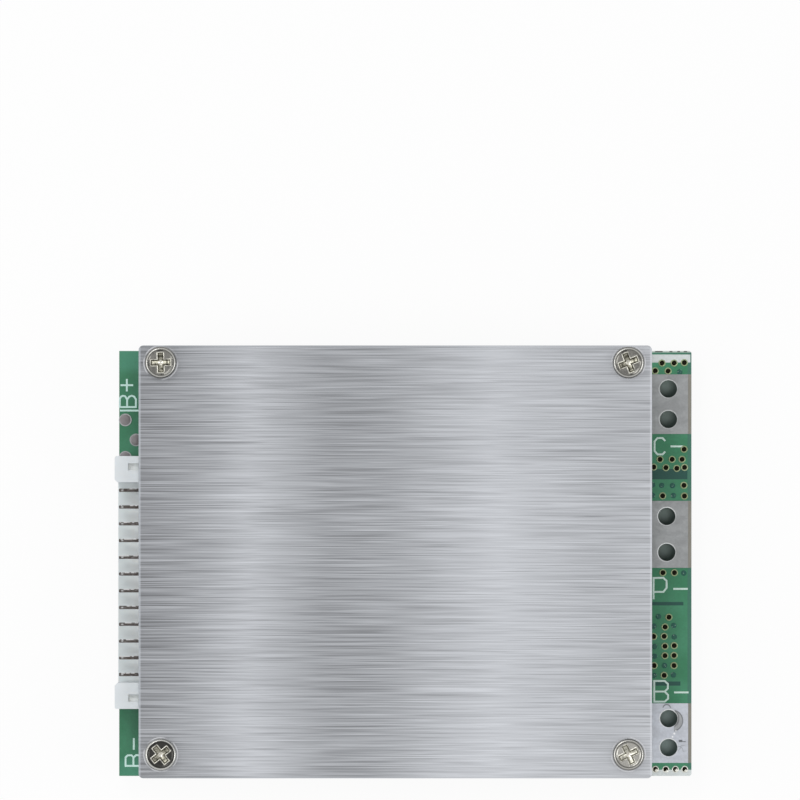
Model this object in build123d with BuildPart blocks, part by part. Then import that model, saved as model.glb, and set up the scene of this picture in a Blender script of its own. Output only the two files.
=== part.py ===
from build123d import *
from math import radians, tan
import os

os.makedirs("parts", exist_ok=True)

# All sizes are in millimetres. X runs along the board from the cell header to the terminals,
# Y runs along the header, and Z points up from the surface that the four nuts stand on.

# Circuit board
board_length = 85.5
board_width = 63.5
board_thickness = 1.6
board_corner_radius = 0.4

# Heat spreader plate: it leaves a strip of board in view at both ends and covers the long edges
header_strip = 3.0
terminal_strip = 6.0
plate_lip = 0.5  # past the board's long edges, before the shift
plate_shift = 0.3  # centre line of the plate above that of the board, along Y
plate_thickness = 2.0
plate_corner_radius = 0.7
plate_edge_chamfer = 0.25

# Fixings: M2.5 screws through plate, spacers and board into nuts
screw_diameter = 2.5
screw_clearance = 0.2  # between a screw and the holes it passes through, on the diameter
screw_inset_header = 3.3  # from the plate's four edges to the screws beside them
screw_inset_terminal = 3.5
screw_inset_high = 2.55
screw_inset_low = 3.55
head_diameter = 4.75
head_height = 1.7
head_side = 0.9  # height of the head's straight side, below its sloping edge
head_edge = 0.75  # width of the sloping edge
recess_width = 0.8
recess_length = 2.8
recess_depth = 1.1
recess_taper = 0.45
recess_turns = (2.0, 22.0, 38.0, 25.0)
spacer_width = 4.5  # across flats
nut_width = 4.9  # across flats
nut_height = 2.0

# Terminals: two plated holes through a tinned pad on both faces
tin_thickness = 0.1
terminal_hole = 2.6
terminal_barrel = 0.1
terminal_reach = 6.4  # pad length along X
terminal_margin = 0.5  # bare laminate between a pad and the end of the board
nut_relief = 0.4  # the lower pads stop this much shorter, beside the nuts
# name: long edge to measure from (0 for the centre line), pad centre from there, pad width,
# hole spacing, holes from the board's end
terminals = {
    "c_terminal": (1, -7.95, 8.9, 4.56, 3.45),
    "p_terminal": (0, 4.35, 10.0, 5.37, 3.7),
    "b_terminal": (-1, 6.4, 8.9, 4.34, 3.4),
}

# Side-entry cell header
pin_count = 12
pin_pitch = 2.5
pin_size = 0.5
pin_height = 3.0  # centre line above the housing's underside
pin_setback = 0.6  # tips behind the mouth of the end blocks
pin_leg_gap = 0.5  # from the housing's rear face to the pins' legs
pin_foot = 1.55  # past the leg
pin_bend = 0.2
pin_tip_chamfer = 0.1
header_overhang = 0.6  # end blocks past the end of the board
header_standoff = 0.1
header_depth = 9.7
header_height = 6.0
header_clearance = 0.3  # below the plate
header_shift = -2.8  # centre of the pin row from the board's centre line
header_end_margin = 5.1  # from the last pin to the end face
header_block_width = 3.9
header_floor = 1.0
header_floor_setback = 0.48
header_back_wall = 2.2
header_roof = 0.8
header_roof_reach = 5.2  # roof over the back of the pins, from the rear face
header_edge_radius = 0.3
key_slot_width = 1.3
key_slot_depth = 0.5
tab_slot_width = 1.1
tab_slot_setback = 2.0  # from the mouth to the slot in the block's top
tab_slot_length = 4.6
tab_slot_depth = 0.7
tab_thickness = 0.4
tab_length = 2.4
tab_setback = 4.0  # from the mouth to the hold-down tab
tab_foot = 1.0

# Round wire pads beside the header: from the board's end, from the board's centre line
wire_pad_diameter = 1.9
wire_pads = ((0.9, 21.45), (2.5, 18.46), (0.9, 15.85))

# Power transistors in surface-mount packages, with a heat tab under the body
mosfet_width = 10.0
mosfet_body_length = 8.7
mosfet_height = 4.5
mosfet_draft = 0.6  # slope of the moulded body's upper faces
mosfet_waist = 2.2  # height of the parting line, which the leads come out under
mosfet_tab_thickness = 1.3
mosfet_tab_width = 8.6
mosfet_tab_reach = 1.3
mosfet_tab_inside = 6.5
mosfet_lead_width = 0.8
mosfet_lead_thickness = 0.5
mosfet_lead_spacing = 5.08
mosfet_lead_shoulder = 1.3
mosfet_lead_reach = 4.2  # from the body to the end of the foot
mosfet_foot = 1.9
mosfet_pitch = 11.4
mosfet_row_gap = 2.3  # from the header pins' feet to the first transistor
discharge_count = 5
charge_count = 3
discharge_row_height = -9.4  # body centres above the board's centre line
charge_row_height = 5.2

# Thermal pads between the transistors and the plate
thermal_pad_width = 8.0
thermal_pad_overlap = 0.4  # past the outer bodies of a row

# Chip parts: length, width, height, length of each end cap
shape_0603 = (1.6, 0.8, 0.45, 0.3)
shape_1206 = (3.2, 1.6, 0.6, 0.5)
shape_capacitor_0603 = (1.6, 0.8, 0.8, 0.35)
shape_capacitor_1206 = (3.2, 1.6, 1.2, 0.6)
shape_shunt = (6.3, 3.1, 0.8, 1.1)

# Small moulded packages: body length, body width, body height, span over the leads
shape_sot23 = (2.9, 1.3, 1.0, 2.4)
shape_sot26 = (2.9, 1.6, 1.1, 2.8)
shape_so8 = (4.9, 3.9, 1.5, 6.0)
shape_so14 = (8.6, 3.9, 1.5, 6.0)
sot_pitch = 0.95
so_pitch = 1.27
monitor_lead_count = 3  # leads on each side
driver_lead_count = 4
logic_lead_count = 7
chip_lead_width = 0.4
chip_lead_thickness = 0.15
chip_foot = 0.45
chip_standoff = 0.05
chip_draft = 7.0  # degrees

# Parts beside the transistors
gate_resistor_gap = 0.9  # from the end of the gate lead's foot
shunt_count = 4
shunt_pitch = 4.2
shunt_gap = 0.5  # from the gate resistors to the shunts
shunt_clearance = 0.75  # from the last shunt to the spacer beside it
capacitor_count = 4
capacitor_pitch = 3.4
capacitor_gap = 4.0  # from the gate resistors to the capacitors
driver_chip_height = 8.5  # above the board's centre line

# Surge diode between P- and B-
diode_length = 4.4
diode_width = 3.6
diode_height = 2.2
diode_strap_width = 2.0
diode_strap_thickness = 0.2
diode_strap_wrap = 1.1
diode_strap_height = 1.2
diode_row_height = -7.5

# Cell channels on the underside, one for each pin, with their parts in a line away from the header
channel_pitch = 4.6
channel_start = 11.7  # from the board's header end to the first part
channel_gap = 1.6  # from one part to the next
balance_resistor_pitch = 2.1  # between the two side by side
logic_chip_gap = 8.0  # from the end of the channels
logic_chip_heights = (14.0, -2.0)

# Tinned power tracks on the underside, from the channels' end to the B- terminal
track_count = 3
track_width = 2.4
track_thickness = 0.4
track_pitch = 4.2
track_start_gap = 3.0
track_end_gap = 0.3
track_row_start = -14.5  # first track above the board's centre line

# Levels
board_bottom = nut_height
board_top = board_bottom + board_thickness
header_bottom = board_top + header_standoff
header_top = header_bottom + header_height
plate_bottom = header_top + header_clearance
plate_top = plate_bottom + plate_thickness

# Places: the origin is below the middle of the whole object
board_left = -(board_length - header_overhang) / 2
board_right = board_left + board_length
board_x = board_left + board_length / 2
board_y = -plate_shift
plate_left = board_left + header_strip
plate_right = board_right - terminal_strip
plate_width = board_width + 2 * plate_lip
screw_xs = (plate_left + screw_inset_header, plate_right - screw_inset_terminal)
screw_ys = (plate_width / 2 - screw_inset_high, screw_inset_low - plate_width / 2)
screw_places = [(x, y) for y in screw_ys for x in screw_xs]
screw_hole = screw_diameter + screw_clearance
terminal_end = board_right - terminal_margin


def terminal_middle(name):
    """Y of the middle of a terminal."""
    edge, offset = terminals[name][:2]
    return board_y + edge * board_width / 2 + offset


def terminal_holes(name):
    """Centres of the two holes of a terminal."""
    spacing, inset = terminals[name][3:]
    middle = terminal_middle(name)
    return [(board_right - inset, middle + spacing / 2), (board_right - inset, middle - spacing / 2)]


# Circuit board: laminate with its screw holes and the drilled holes of the terminals
with BuildPart() as circuit_board:
    with BuildSketch(Plane.XY.offset(board_bottom)) as outline:
        with Locations((board_x, board_y)):
            Rectangle(board_length, board_width)
        fillet(outline.vertices().group_by(Axis.X)[-1], board_corner_radius)
        with Locations(*screw_places):
            Circle(screw_hole / 2, mode=Mode.SUBTRACT)
        for name in terminals:
            with Locations(*terminal_holes(name)):
                Circle(terminal_hole / 2 + terminal_barrel, mode=Mode.SUBTRACT)
    extrude(amount=board_thickness)
circuit_board.part.label = "circuit_board"
export_step(circuit_board.part, "parts/circuit_board.step")

# Terminals: pads on both faces joined by the plated barrels of the holes
for name in terminals:
    pad_width = terminals[name][2]
    with BuildPart() as terminal:
        for level, reach in (
            (board_bottom - tin_thickness, terminal_reach - nut_relief),
            (board_top, terminal_reach),
        ):
            with BuildSketch(Plane.XY.offset(level)):
                with Locations((terminal_end - reach / 2, terminal_middle(name))):
                    Rectangle(reach, pad_width)
                with Locations(*terminal_holes(name)):
                    Circle(terminal_hole / 2, mode=Mode.SUBTRACT)
            extrude(amount=tin_thickness)
        with BuildSketch(Plane.XY.offset(board_bottom)):
            with Locations(*terminal_holes(name)):
                Circle(terminal_hole / 2 + terminal_barrel)
                Circle(terminal_hole / 2, mode=Mode.SUBTRACT)
        extrude(amount=board_thickness)
    terminal.part.label = name
    export_step(terminal.part, f"parts/{name}.step")

# Heat spreader plate: sawn and deburred sheet with a fine chamfer round the upper face
with BuildPart() as heat_spreader_plate:
    with BuildSketch(Plane.XY.offset(plate_bottom)):
        with Locations(((plate_left + plate_right) / 2, 0)):
            RectangleRounded(plate_right - plate_left, plate_width, plate_corner_radius)
    extrude(amount=plate_thickness)
    chamfer(heat_spreader_plate.faces().sort_by(Axis.Z)[-1].edges(), plate_edge_chamfer)
    with BuildSketch(Plane.XY.offset(plate_bottom)):
        with Locations(*screw_places):
            Circle(screw_hole / 2)
    extrude(amount=plate_thickness, mode=Mode.SUBTRACT)
heat_spreader_plate.part.label = "heat_spreader_plate"
export_step(heat_spreader_plate.part, "parts/heat_spreader_plate.step")

# One screw with its head's seat at the origin: pan head, cross recess, plain shank to the nuts' underside
shank_length = plate_top
with BuildPart() as screw:
    with BuildSketch(Plane.XZ):
        with BuildLine():
            Polyline(
                (0, head_height),
                (0, -shank_length),
                (screw_diameter / 2, -shank_length),
                (screw_diameter / 2, 0),
                (head_diameter / 2, 0),
                (head_diameter / 2, head_side),
                (head_diameter / 2 - head_edge, head_height),
                close=True,
            )
        make_face()
    revolve(axis=Axis.Z)
    with BuildSketch(Plane.XY.offset(head_height)):
        Rectangle(recess_length, recess_width)
        Rectangle(recess_width, recess_length)
    with BuildSketch(Plane.XY.offset(head_height - recess_depth)):
        Rectangle(recess_length * recess_taper, recess_width * recess_taper)
        Rectangle(recess_width * recess_taper, recess_length * recess_taper)
    loft(ruled=True, mode=Mode.SUBTRACT)

with BuildPart() as plate_screws:
    turned_seats = [
        Location((x, y, plate_top), (0, 0, turn)) for (x, y), turn in zip(screw_places, recess_turns)
    ]
    with Locations(*turned_seats):
        add(screw.part)
plate_screws.part.label = "plate_screws"
export_step(plate_screws.part, "parts/plate_screws.step")

# Spacers: hexagonal tubes around the screws that set the gap below the plate
with BuildPart() as spacers:
    with BuildSketch(Plane.XY.offset(board_top)):
        with Locations(*screw_places):
            RegularPolygon(spacer_width / 2, 6, major_radius=False)
            Circle(screw_hole / 2, mode=Mode.SUBTRACT)
    extrude(amount=plate_bottom - board_top)
spacers.part.label = "spacers"
export_step(spacers.part, "parts/spacers.step")

# Hex nuts under the board, with a corner towards the terminals
with BuildPart() as hex_nuts:
    with BuildSketch():
        with Locations(*screw_places):
            RegularPolygon(nut_width / 2, 6, major_radius=False)
            Circle(screw_diameter / 2, mode=Mode.SUBTRACT)
    extrude(amount=nut_height)
hex_nuts.part.label = "hex_nuts"
export_step(hex_nuts.part, "parts/hex_nuts.step")

# Cell header: one moulding with a floor, two tall end blocks, a back wall that holds the pins
# and a roof over their rear half. The mouth looks along -X, off the end of the board.
header_front = board_left - header_overhang
header_back = header_front + header_depth
header_y = board_y + header_shift
header_length = (pin_count - 1) * pin_pitch + 2 * header_end_margin
header_low = header_y - header_length / 2
header_high = header_y + header_length / 2
pin_level = header_bottom + pin_height
pin_ys = [header_y + (i - (pin_count - 1) / 2) * pin_pitch for i in range(pin_count)]
pin_foot_end = header_back + pin_leg_gap + pin_size + pin_foot
cavity_length = header_length - 2 * header_block_width
cavity_back = header_back - header_back_wall
tab_places = (header_low + header_block_width / 2, header_high - header_block_width / 2)
tab_front = header_front + tab_setback

# Pins: square wire through the back wall, bent down behind it and out to a foot on the board
with BuildPart() as header_pins:
    leg_front = header_back + pin_leg_gap
    with BuildSketch(*[Plane((0, y + pin_size / 2, 0), x_dir=(1, 0, 0), z_dir=(0, -1, 0)) for y in pin_ys]):
        with BuildLine():
            Polyline(
                (header_front + pin_setback, pin_level + pin_size / 2),
                (leg_front + pin_size - pin_bend, pin_level + pin_size / 2),
                (leg_front + pin_size, pin_level + pin_size / 2 - pin_bend),
                (leg_front + pin_size, board_top + pin_size),
                (pin_foot_end, board_top + pin_size),
                (pin_foot_end, board_top),
                (leg_front + pin_bend, board_top),
                (leg_front, board_top + pin_bend),
                (leg_front, pin_level - pin_size / 2),
                (header_front + pin_setback, pin_level - pin_size / 2),
                close=True,
            )
        make_face()
    extrude(amount=pin_size)
    tips = header_pins.faces().filter_by(Axis.X).group_by(Axis.X)[0]
    chamfer(tips.edges(), pin_tip_chamfer)
header_pins.part.label = "header_pins"
export_step(header_pins.part, "parts/header_pins.step")

# Hold-down tabs: a strip in each end block with a foot that turns outwards on the board
with BuildPart() as header_tabs:
    for y, outward in zip(tab_places, (-1, 1)):
        foot_length = header_block_width / 2 + tab_foot
        with BuildSketch(Plane.XY.offset(board_top)):
            with Locations((tab_front + tab_length / 2, y)):
                Rectangle(tab_length, tab_thickness)
        extrude(amount=header_top - tab_slot_depth - board_top)
        with BuildSketch(Plane.XY.offset(board_top)):
            with Locations((tab_front + tab_length / 2, y + outward * foot_length / 2)):
                Rectangle(tab_length, foot_length)
        extrude(amount=tab_thickness)
header_tabs.part.label = "header_tabs"
export_step(header_tabs.part, "parts/header_tabs.step")

with BuildPart() as header_housing:
    with BuildSketch(Plane.XY.offset(header_bottom)):
        with Locations(((header_front + header_back) / 2, header_y)):
            Rectangle(header_depth, header_length)
    extrude(amount=header_height)
    fillet(header_housing.edges().filter_by(Axis.Z).group_by(Axis.X)[0], header_edge_radius)
    # the mouth: open to the front and to the top, and closed by the roof further in
    roof_front = header_back - header_roof_reach
    with BuildSketch(Plane.XY.offset(header_bottom + header_floor)):
        with Locations(((header_front + cavity_back) / 2, header_y)):
            Rectangle(cavity_back - header_front, cavity_length)
    extrude(amount=header_height - header_floor - header_roof, mode=Mode.SUBTRACT)
    with BuildSketch(Plane.XY.offset(header_top)):
        with Locations(((header_front + roof_front) / 2, header_y)):
            Rectangle(roof_front - header_front, cavity_length)
    extrude(amount=-header_roof, mode=Mode.SUBTRACT)
    # the floor stops short of the end blocks
    with BuildSketch(Plane.XY.offset(header_bottom)):
        with Locations((header_front + header_floor_setback / 2, header_y)):
            Rectangle(header_floor_setback, cavity_length)
    extrude(amount=header_floor, mode=Mode.SUBTRACT)
    # key slots for the plug's ribs in the inner faces of the end blocks
    with BuildSketch(Plane.XY.offset(pin_level - key_slot_width / 2)):
        with Locations(((header_front + cavity_back) / 2, header_y)):
            Rectangle(cavity_back - header_front, cavity_length + 2 * key_slot_depth)
    extrude(amount=key_slot_width, mode=Mode.SUBTRACT)
    # a slot in the top of each end block, down to the hold-down tab
    slot_x = header_front + tab_slot_setback + tab_slot_length / 2
    with BuildSketch(Plane.XY.offset(header_top)):
        with Locations(*[(slot_x, y) for y in tab_places]):
            Rectangle(tab_slot_length, tab_slot_width)
    extrude(amount=-tab_slot_depth, mode=Mode.SUBTRACT)
    add(header_tabs.part, mode=Mode.SUBTRACT)
    add(header_pins.part, mode=Mode.SUBTRACT)
header_housing.part.label = "header_housing"
export_step(header_housing.part, "parts/header_housing.step")

# Round wire pads beside the header
with BuildPart() as wire_pad_discs:
    with BuildSketch(Plane.XY.offset(board_top)):
        with Locations(*[(board_left + inset, board_y + height) for inset, height in wire_pads]):
            Circle(wire_pad_diameter / 2)
    extrude(amount=tin_thickness)
wire_pad_discs.part.label = "wire_pads"
export_step(wire_pad_discs.part, "parts/wire_pads.step")

# Power transistors. Each stands on its own seat plane: local X across the package,
# local -Y towards the leads. The body is moulded over the heat tab.
body_back = mosfet_body_length / 2
foot_tip = body_back + mosfet_lead_reach


def mosfet(name, x, y, turned):
    """One transistor: leadframe with heat tab and two formed leads, and its moulded body."""
    seat = Plane((x, y, board_top), x_dir=(-1 if turned else 1, 0, 0), z_dir=(0, 0, 1))
    lead_planes = [
        Plane(
            seat.from_local_coords((side * mosfet_lead_spacing / 2 + mosfet_lead_width / 2, 0, 0)),
            x_dir=-seat.y_dir,
            z_dir=-seat.x_dir,
        )
        for side in (-1, 1)
    ]
    with BuildPart() as leadframe:
        with BuildSketch(seat):
            with Locations((0, body_back + (mosfet_tab_reach - mosfet_tab_inside) / 2)):
                Rectangle(mosfet_tab_width, mosfet_tab_inside + mosfet_tab_reach)
        extrude(amount=mosfet_tab_thickness)
        with BuildSketch(*lead_planes):
            lean = mosfet_lead_thickness / 2
            with BuildLine():
                Polyline(
                    (body_back, mosfet_waist),
                    (body_back + mosfet_lead_shoulder, mosfet_waist),
                    (foot_tip - mosfet_foot, mosfet_lead_thickness),
                    (foot_tip, mosfet_lead_thickness),
                    (foot_tip, 0),
                    (foot_tip - mosfet_foot - lean, 0),
                    (body_back + mosfet_lead_shoulder - lean, mosfet_waist - mosfet_lead_thickness),
                    (body_back, mosfet_waist - mosfet_lead_thickness),
                    close=True,
                )
            make_face()
        extrude(amount=mosfet_lead_width)
    leadframe.part.label = f"{name}_leadframe"
    export_step(leadframe.part, f"parts/{name}_leadframe.step")

    with BuildPart() as body:
        with BuildSketch(seat):
            Rectangle(mosfet_width, mosfet_body_length)
        extrude(amount=mosfet_waist)
        with BuildSketch(seat.offset(mosfet_waist)):
            Rectangle(mosfet_width, mosfet_body_length)
        with BuildSketch(seat.offset(mosfet_height)):
            Rectangle(mosfet_width - 2 * mosfet_draft, mosfet_body_length - 2 * mosfet_draft)
        loft(ruled=True)
        add(leadframe.part, mode=Mode.SUBTRACT)
    body.part.label = f"{name}_body"
    export_step(body.part, f"parts/{name}_body.step")


row_start = pin_foot_end + mosfet_row_gap + mosfet_width / 2
row_xs = [row_start + i * mosfet_pitch for i in range(discharge_count)]
charge_xs = row_xs[discharge_count - charge_count:]
discharge_y = board_y + discharge_row_height
charge_y = board_y + charge_row_height
for number, x in enumerate(row_xs, start=1):
    mosfet(f"discharge_mosfet_{number}", x, discharge_y, turned=False)
for number, x in enumerate(charge_xs, start=1):
    mosfet(f"charge_mosfet_{number}", x, charge_y, turned=True)

# Thermal pads fill the space from the transistors up to the plate
for label, xs, y in (
    ("discharge_thermal_pad", row_xs, discharge_y),
    ("charge_thermal_pad", charge_xs, charge_y),
):
    with BuildPart() as thermal_pad:
        with BuildSketch(Plane.XY.offset(board_top + mosfet_height)):
            with Locations(((xs[0] + xs[-1]) / 2, y)):
                Rectangle(xs[-1] - xs[0] + mosfet_width + 2 * thermal_pad_overlap, thermal_pad_width)
        extrude(amount=plate_bottom - board_top - mosfet_height)
    thermal_pad.part.label = label
    export_step(thermal_pad.part, f"parts/{label}.step")


def seat_plane(x, y, upper, along_y=False):
    """Seat of a small part on the board's upper or lower face, with its local X along the part."""
    direction = (0, 1, 0) if along_y else (1, 0, 0)
    if upper:
        return Plane((x, y, board_top), x_dir=direction, z_dir=(0, 0, 1))
    return Plane((x, y, board_bottom), x_dir=direction, z_dir=(0, 0, -1))


def chip_parts(name, shape, seats):
    """Resistors, capacitors or shunts: one node of bodies and one of the metal end caps."""
    length, width, height, cap = shape
    with BuildPart() as bodies:
        with BuildSketch(*seats):
            Rectangle(length - 2 * cap, width)
        extrude(amount=height)
    bodies.part.label = f"{name}_bodies"
    export_step(bodies.part, f"parts/{name}_bodies.step")

    with BuildPart() as caps:
        with BuildSketch(*seats):
            with Locations(((cap - length) / 2, 0), ((length - cap) / 2, 0)):
                Rectangle(cap, width)
        extrude(amount=height)
    caps.part.label = f"{name}_caps"
    export_step(caps.part, f"parts/{name}_caps.step")


def moulded_chips(name, shape, leads, seats):
    """Moulded packages with bent leads: leads is a list of place along the body and side."""
    length, width, height, span = shape
    shoulder = chip_standoff + height / 2
    heel = span / 2 - chip_foot

    def body_side(level):
        """Distance of the drafted side face from the middle, at a level above the board."""
        return width / 2 - (level - chip_standoff) * tan(radians(chip_draft))

    lead_planes = []
    for seat in seats:
        for along, side in leads:
            corner = seat.from_local_coords((along - side * chip_lead_width / 2, 0, 0))
            lead_planes.append(Plane(corner, x_dir=seat.y_dir * side, z_dir=seat.x_dir * side))
    with BuildPart() as metal:
        with BuildSketch(*lead_planes):
            with BuildLine():
                Polyline(
                    (body_side(shoulder), shoulder),
                    (heel, chip_lead_thickness),
                    (span / 2, chip_lead_thickness),
                    (span / 2, 0),
                    (heel - chip_lead_thickness / 2, 0),
                    (body_side(shoulder - chip_lead_thickness), shoulder - chip_lead_thickness),
                    close=True,
                )
            make_face()
        extrude(amount=chip_lead_width)
    metal.part.label = f"{name}_leads"
    export_step(metal.part, f"parts/{name}_leads.step")

    narrowing = 2 * height * tan(radians(chip_draft))
    with BuildPart() as bodies:
        for seat in seats:
            with BuildSketch(seat.offset(chip_standoff)):
                Rectangle(length, width)
            with BuildSketch(seat.offset(chip_standoff + height)):
                Rectangle(length - narrowing, width - narrowing)
            loft(ruled=True)
    bodies.part.label = f"{name}_bodies"
    export_step(bodies.part, f"parts/{name}_bodies.step")


def both_sides(count, pitch):
    """Leads of a package with the same row on both sides."""
    return [((i - (count - 1) / 2) * pitch, side) for side in (-1, 1) for i in range(count)]


# Gate resistors in line with the gate leads of both rows
gate_reach = foot_tip + gate_resistor_gap + shape_0603[0] / 2
gate_places = [(x - mosfet_lead_spacing / 2, discharge_y - gate_reach) for x in row_xs]
gate_places += [(x + mosfet_lead_spacing / 2, charge_y + gate_reach) for x in charge_xs]
chip_parts("gate_resistor", shape_0603, [seat_plane(x, y, upper=True, along_y=True) for x, y in gate_places])

# Current shunts: a row of metal-strip resistors in parallel, between the discharge row and the edge
shunt_y = discharge_y - gate_reach - shape_0603[0] / 2 - shunt_gap - shape_shunt[0] / 2
shunt_end = screw_xs[1] - spacer_width / 2 - shunt_clearance - shape_shunt[1] / 2
shunt_xs = [shunt_end - i * shunt_pitch for i in range(shunt_count)]
chip_parts("current_shunt", shape_shunt, [seat_plane(x, shunt_y, upper=True, along_y=True) for x in shunt_xs])

# Ceramic capacitors across the charge path, in a row centred on the charge transistors
capacitor_start = (charge_xs[0] + charge_xs[-1] - (capacitor_count - 1) * capacitor_pitch) / 2
capacitor_xs = [capacitor_start + i * capacitor_pitch for i in range(capacitor_count)]
capacitor_y = charge_y + gate_reach + shape_0603[0] / 2 + capacitor_gap + shape_capacitor_1206[0] / 2
chip_parts(
    "power_capacitor",
    shape_capacitor_1206,
    [seat_plane(x, capacitor_y, upper=True, along_y=True) for x in capacitor_xs],
)

# Gate driver, midway between the header pins' feet and the charge transistors
driver_x = (pin_foot_end + charge_xs[0] - mosfet_width / 2) / 2
moulded_chips(
    "driver_chip",
    shape_so8,
    both_sides(driver_lead_count, so_pitch),
    [seat_plane(driver_x, board_y + driver_chip_height, upper=True, along_y=True)],
)

# Surge diode between the transistors and the board's end: moulded block with two straps bent under it
diode_x = (row_xs[-1] + mosfet_width / 2 + board_right) / 2
diode_seat = seat_plane(diode_x, board_y + diode_row_height, upper=True, along_y=True)
with BuildPart() as surge_diode_body:
    with BuildSketch(diode_seat.offset(diode_strap_thickness)):
        Rectangle(diode_length, diode_width)
    extrude(amount=diode_height)
surge_diode_body.part.label = "surge_diode_body"
export_step(surge_diode_body.part, "parts/surge_diode_body.step")

strap_planes = [
    Plane(
        diode_seat.from_local_coords((0, side * diode_strap_width / 2, 0)),
        x_dir=diode_seat.x_dir * side,
        z_dir=diode_seat.y_dir * -side,
    )
    for side in (-1, 1)
]
with BuildPart() as surge_diode_straps:
    with BuildSketch(*strap_planes):
        with BuildLine():
            Polyline(
                (diode_length / 2, diode_strap_height),
                (diode_length / 2 + diode_strap_thickness, diode_strap_height),
                (diode_length / 2 + diode_strap_thickness, 0),
                (diode_length / 2 - diode_strap_wrap, 0),
                (diode_length / 2 - diode_strap_wrap, diode_strap_thickness),
                (diode_length / 2, diode_strap_thickness),
                close=True,
            )
        make_face()
    extrude(amount=diode_strap_width)
surge_diode_straps.part.label = "surge_diode_straps"
export_step(surge_diode_straps.part, "parts/surge_diode_straps.step")

# Cell channels on the underside: the same line of parts for each pin of the header
channel_ys = [board_y + (i - (pin_count - 1) / 2) * channel_pitch for i in range(pin_count)]
channel_xs = {}
channels_end = board_left + channel_start - channel_gap
for part, extent in (
    ("filter_resistor", shape_0603[0]),
    ("filter_capacitor", shape_capacitor_0603[1]),
    ("monitor_chip", shape_sot26[3]),
    ("balance_transistor", shape_sot23[3]),
    ("balance_resistor", shape_1206[0]),
):
    channel_xs[part] = channels_end + channel_gap + extent / 2
    channels_end += channel_gap + extent


def channel_seats(part, along_y=True, shift=0.0):
    """Seats of one part in every channel."""
    return [seat_plane(channel_xs[part], y + shift, upper=False, along_y=along_y) for y in channel_ys]


chip_parts("filter_resistor", shape_0603, channel_seats("filter_resistor", along_y=False))
chip_parts("filter_capacitor", shape_capacitor_0603, channel_seats("filter_capacitor"))
moulded_chips("monitor_chip", shape_sot26, both_sides(monitor_lead_count, sot_pitch), channel_seats("monitor_chip"))
moulded_chips(
    "balance_transistor",
    shape_sot23,
    [(-sot_pitch, -1), (sot_pitch, -1), (0, 1)],
    channel_seats("balance_transistor"),
)
chip_parts(
    "balance_resistor",
    shape_1206,
    channel_seats("balance_resistor", along_y=False, shift=-balance_resistor_pitch / 2)
    + channel_seats("balance_resistor", along_y=False, shift=balance_resistor_pitch / 2),
)
logic_chip_x = channels_end + logic_chip_gap + shape_so14[3] / 2
moulded_chips(
    "logic_chip",
    shape_so14,
    both_sides(logic_lead_count, so_pitch),
    [seat_plane(logic_chip_x, board_y + height, upper=False, along_y=True) for height in logic_chip_heights],
)

# Tinned power tracks on the underside, thick with solder and rounded off below
track_start = channels_end + track_start_gap
track_end = terminal_end - terminal_reach - track_end_gap
track_x = (track_start + track_end) / 2
track_ys = [board_y + track_row_start - i * track_pitch for i in range(track_count)]
with BuildPart() as power_tracks:
    with BuildSketch(Plane.XY.offset(board_bottom)):
        with Locations(*[(track_x, y) for y in track_ys]):
            Rectangle(track_end - track_start, track_width)
    extrude(amount=-track_thickness)
    chamfer(power_tracks.faces().group_by(Axis.Z)[0].edges(), track_thickness / 2)
power_tracks.part.label = "power_tracks"
export_step(power_tracks.part, "parts/power_tracks.step")
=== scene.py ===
import math
import bmesh
import bpy
import numpy as np
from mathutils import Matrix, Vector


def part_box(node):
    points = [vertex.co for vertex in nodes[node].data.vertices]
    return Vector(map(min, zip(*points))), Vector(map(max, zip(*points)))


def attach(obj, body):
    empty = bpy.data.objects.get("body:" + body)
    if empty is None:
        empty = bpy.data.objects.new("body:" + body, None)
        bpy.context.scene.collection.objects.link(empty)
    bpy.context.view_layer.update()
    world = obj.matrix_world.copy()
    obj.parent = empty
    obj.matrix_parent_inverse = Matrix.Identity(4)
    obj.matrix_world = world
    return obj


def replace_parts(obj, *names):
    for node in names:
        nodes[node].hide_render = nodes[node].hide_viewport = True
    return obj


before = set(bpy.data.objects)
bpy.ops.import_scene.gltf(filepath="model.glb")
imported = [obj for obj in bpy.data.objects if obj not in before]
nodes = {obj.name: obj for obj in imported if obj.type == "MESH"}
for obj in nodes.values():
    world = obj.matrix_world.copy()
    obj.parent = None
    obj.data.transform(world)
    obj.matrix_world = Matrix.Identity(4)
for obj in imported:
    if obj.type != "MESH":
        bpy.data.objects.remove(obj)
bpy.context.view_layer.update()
mm = 0.001
print("frame loaded,", len(nodes), "nodes")


# Shader maths: a wire is a number on its way between two nodes
class Wire:
    def __init__(self, paint, socket):
        self.paint = paint
        self.socket = socket

    def maths(self, operation, other, swapped=False):
        pair = (other, self) if swapped else (self, other)
        return self.paint.node("ShaderNodeMath", {"operation": operation}, {0: pair[0], 1: pair[1]})

    def __add__(self, other):
        return self.maths("ADD", other)

    def __radd__(self, other):
        return self.maths("ADD", other, True)

    def __sub__(self, other):
        return self.maths("SUBTRACT", other)

    def __rsub__(self, other):
        return self.maths("SUBTRACT", other, True)

    def __mul__(self, other):
        return self.maths("MULTIPLY", other)

    def __rmul__(self, other):
        return self.maths("MULTIPLY", other, True)

    def __truediv__(self, other):
        return self.maths("DIVIDE", other)

    def __pow__(self, other):
        return self.maths("POWER", other)

    def __abs__(self):
        return self.maths("ABSOLUTE", 0)

    def __mod__(self, other):
        return self.maths("FLOORED_MODULO", other)

    def __or__(self, other):  # the greater of two masks
        return self.maths("MAXIMUM", other)

    def sister(self, name):  # another output of the same node
        return Wire(self.paint, self.socket.node.outputs[name])


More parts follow.
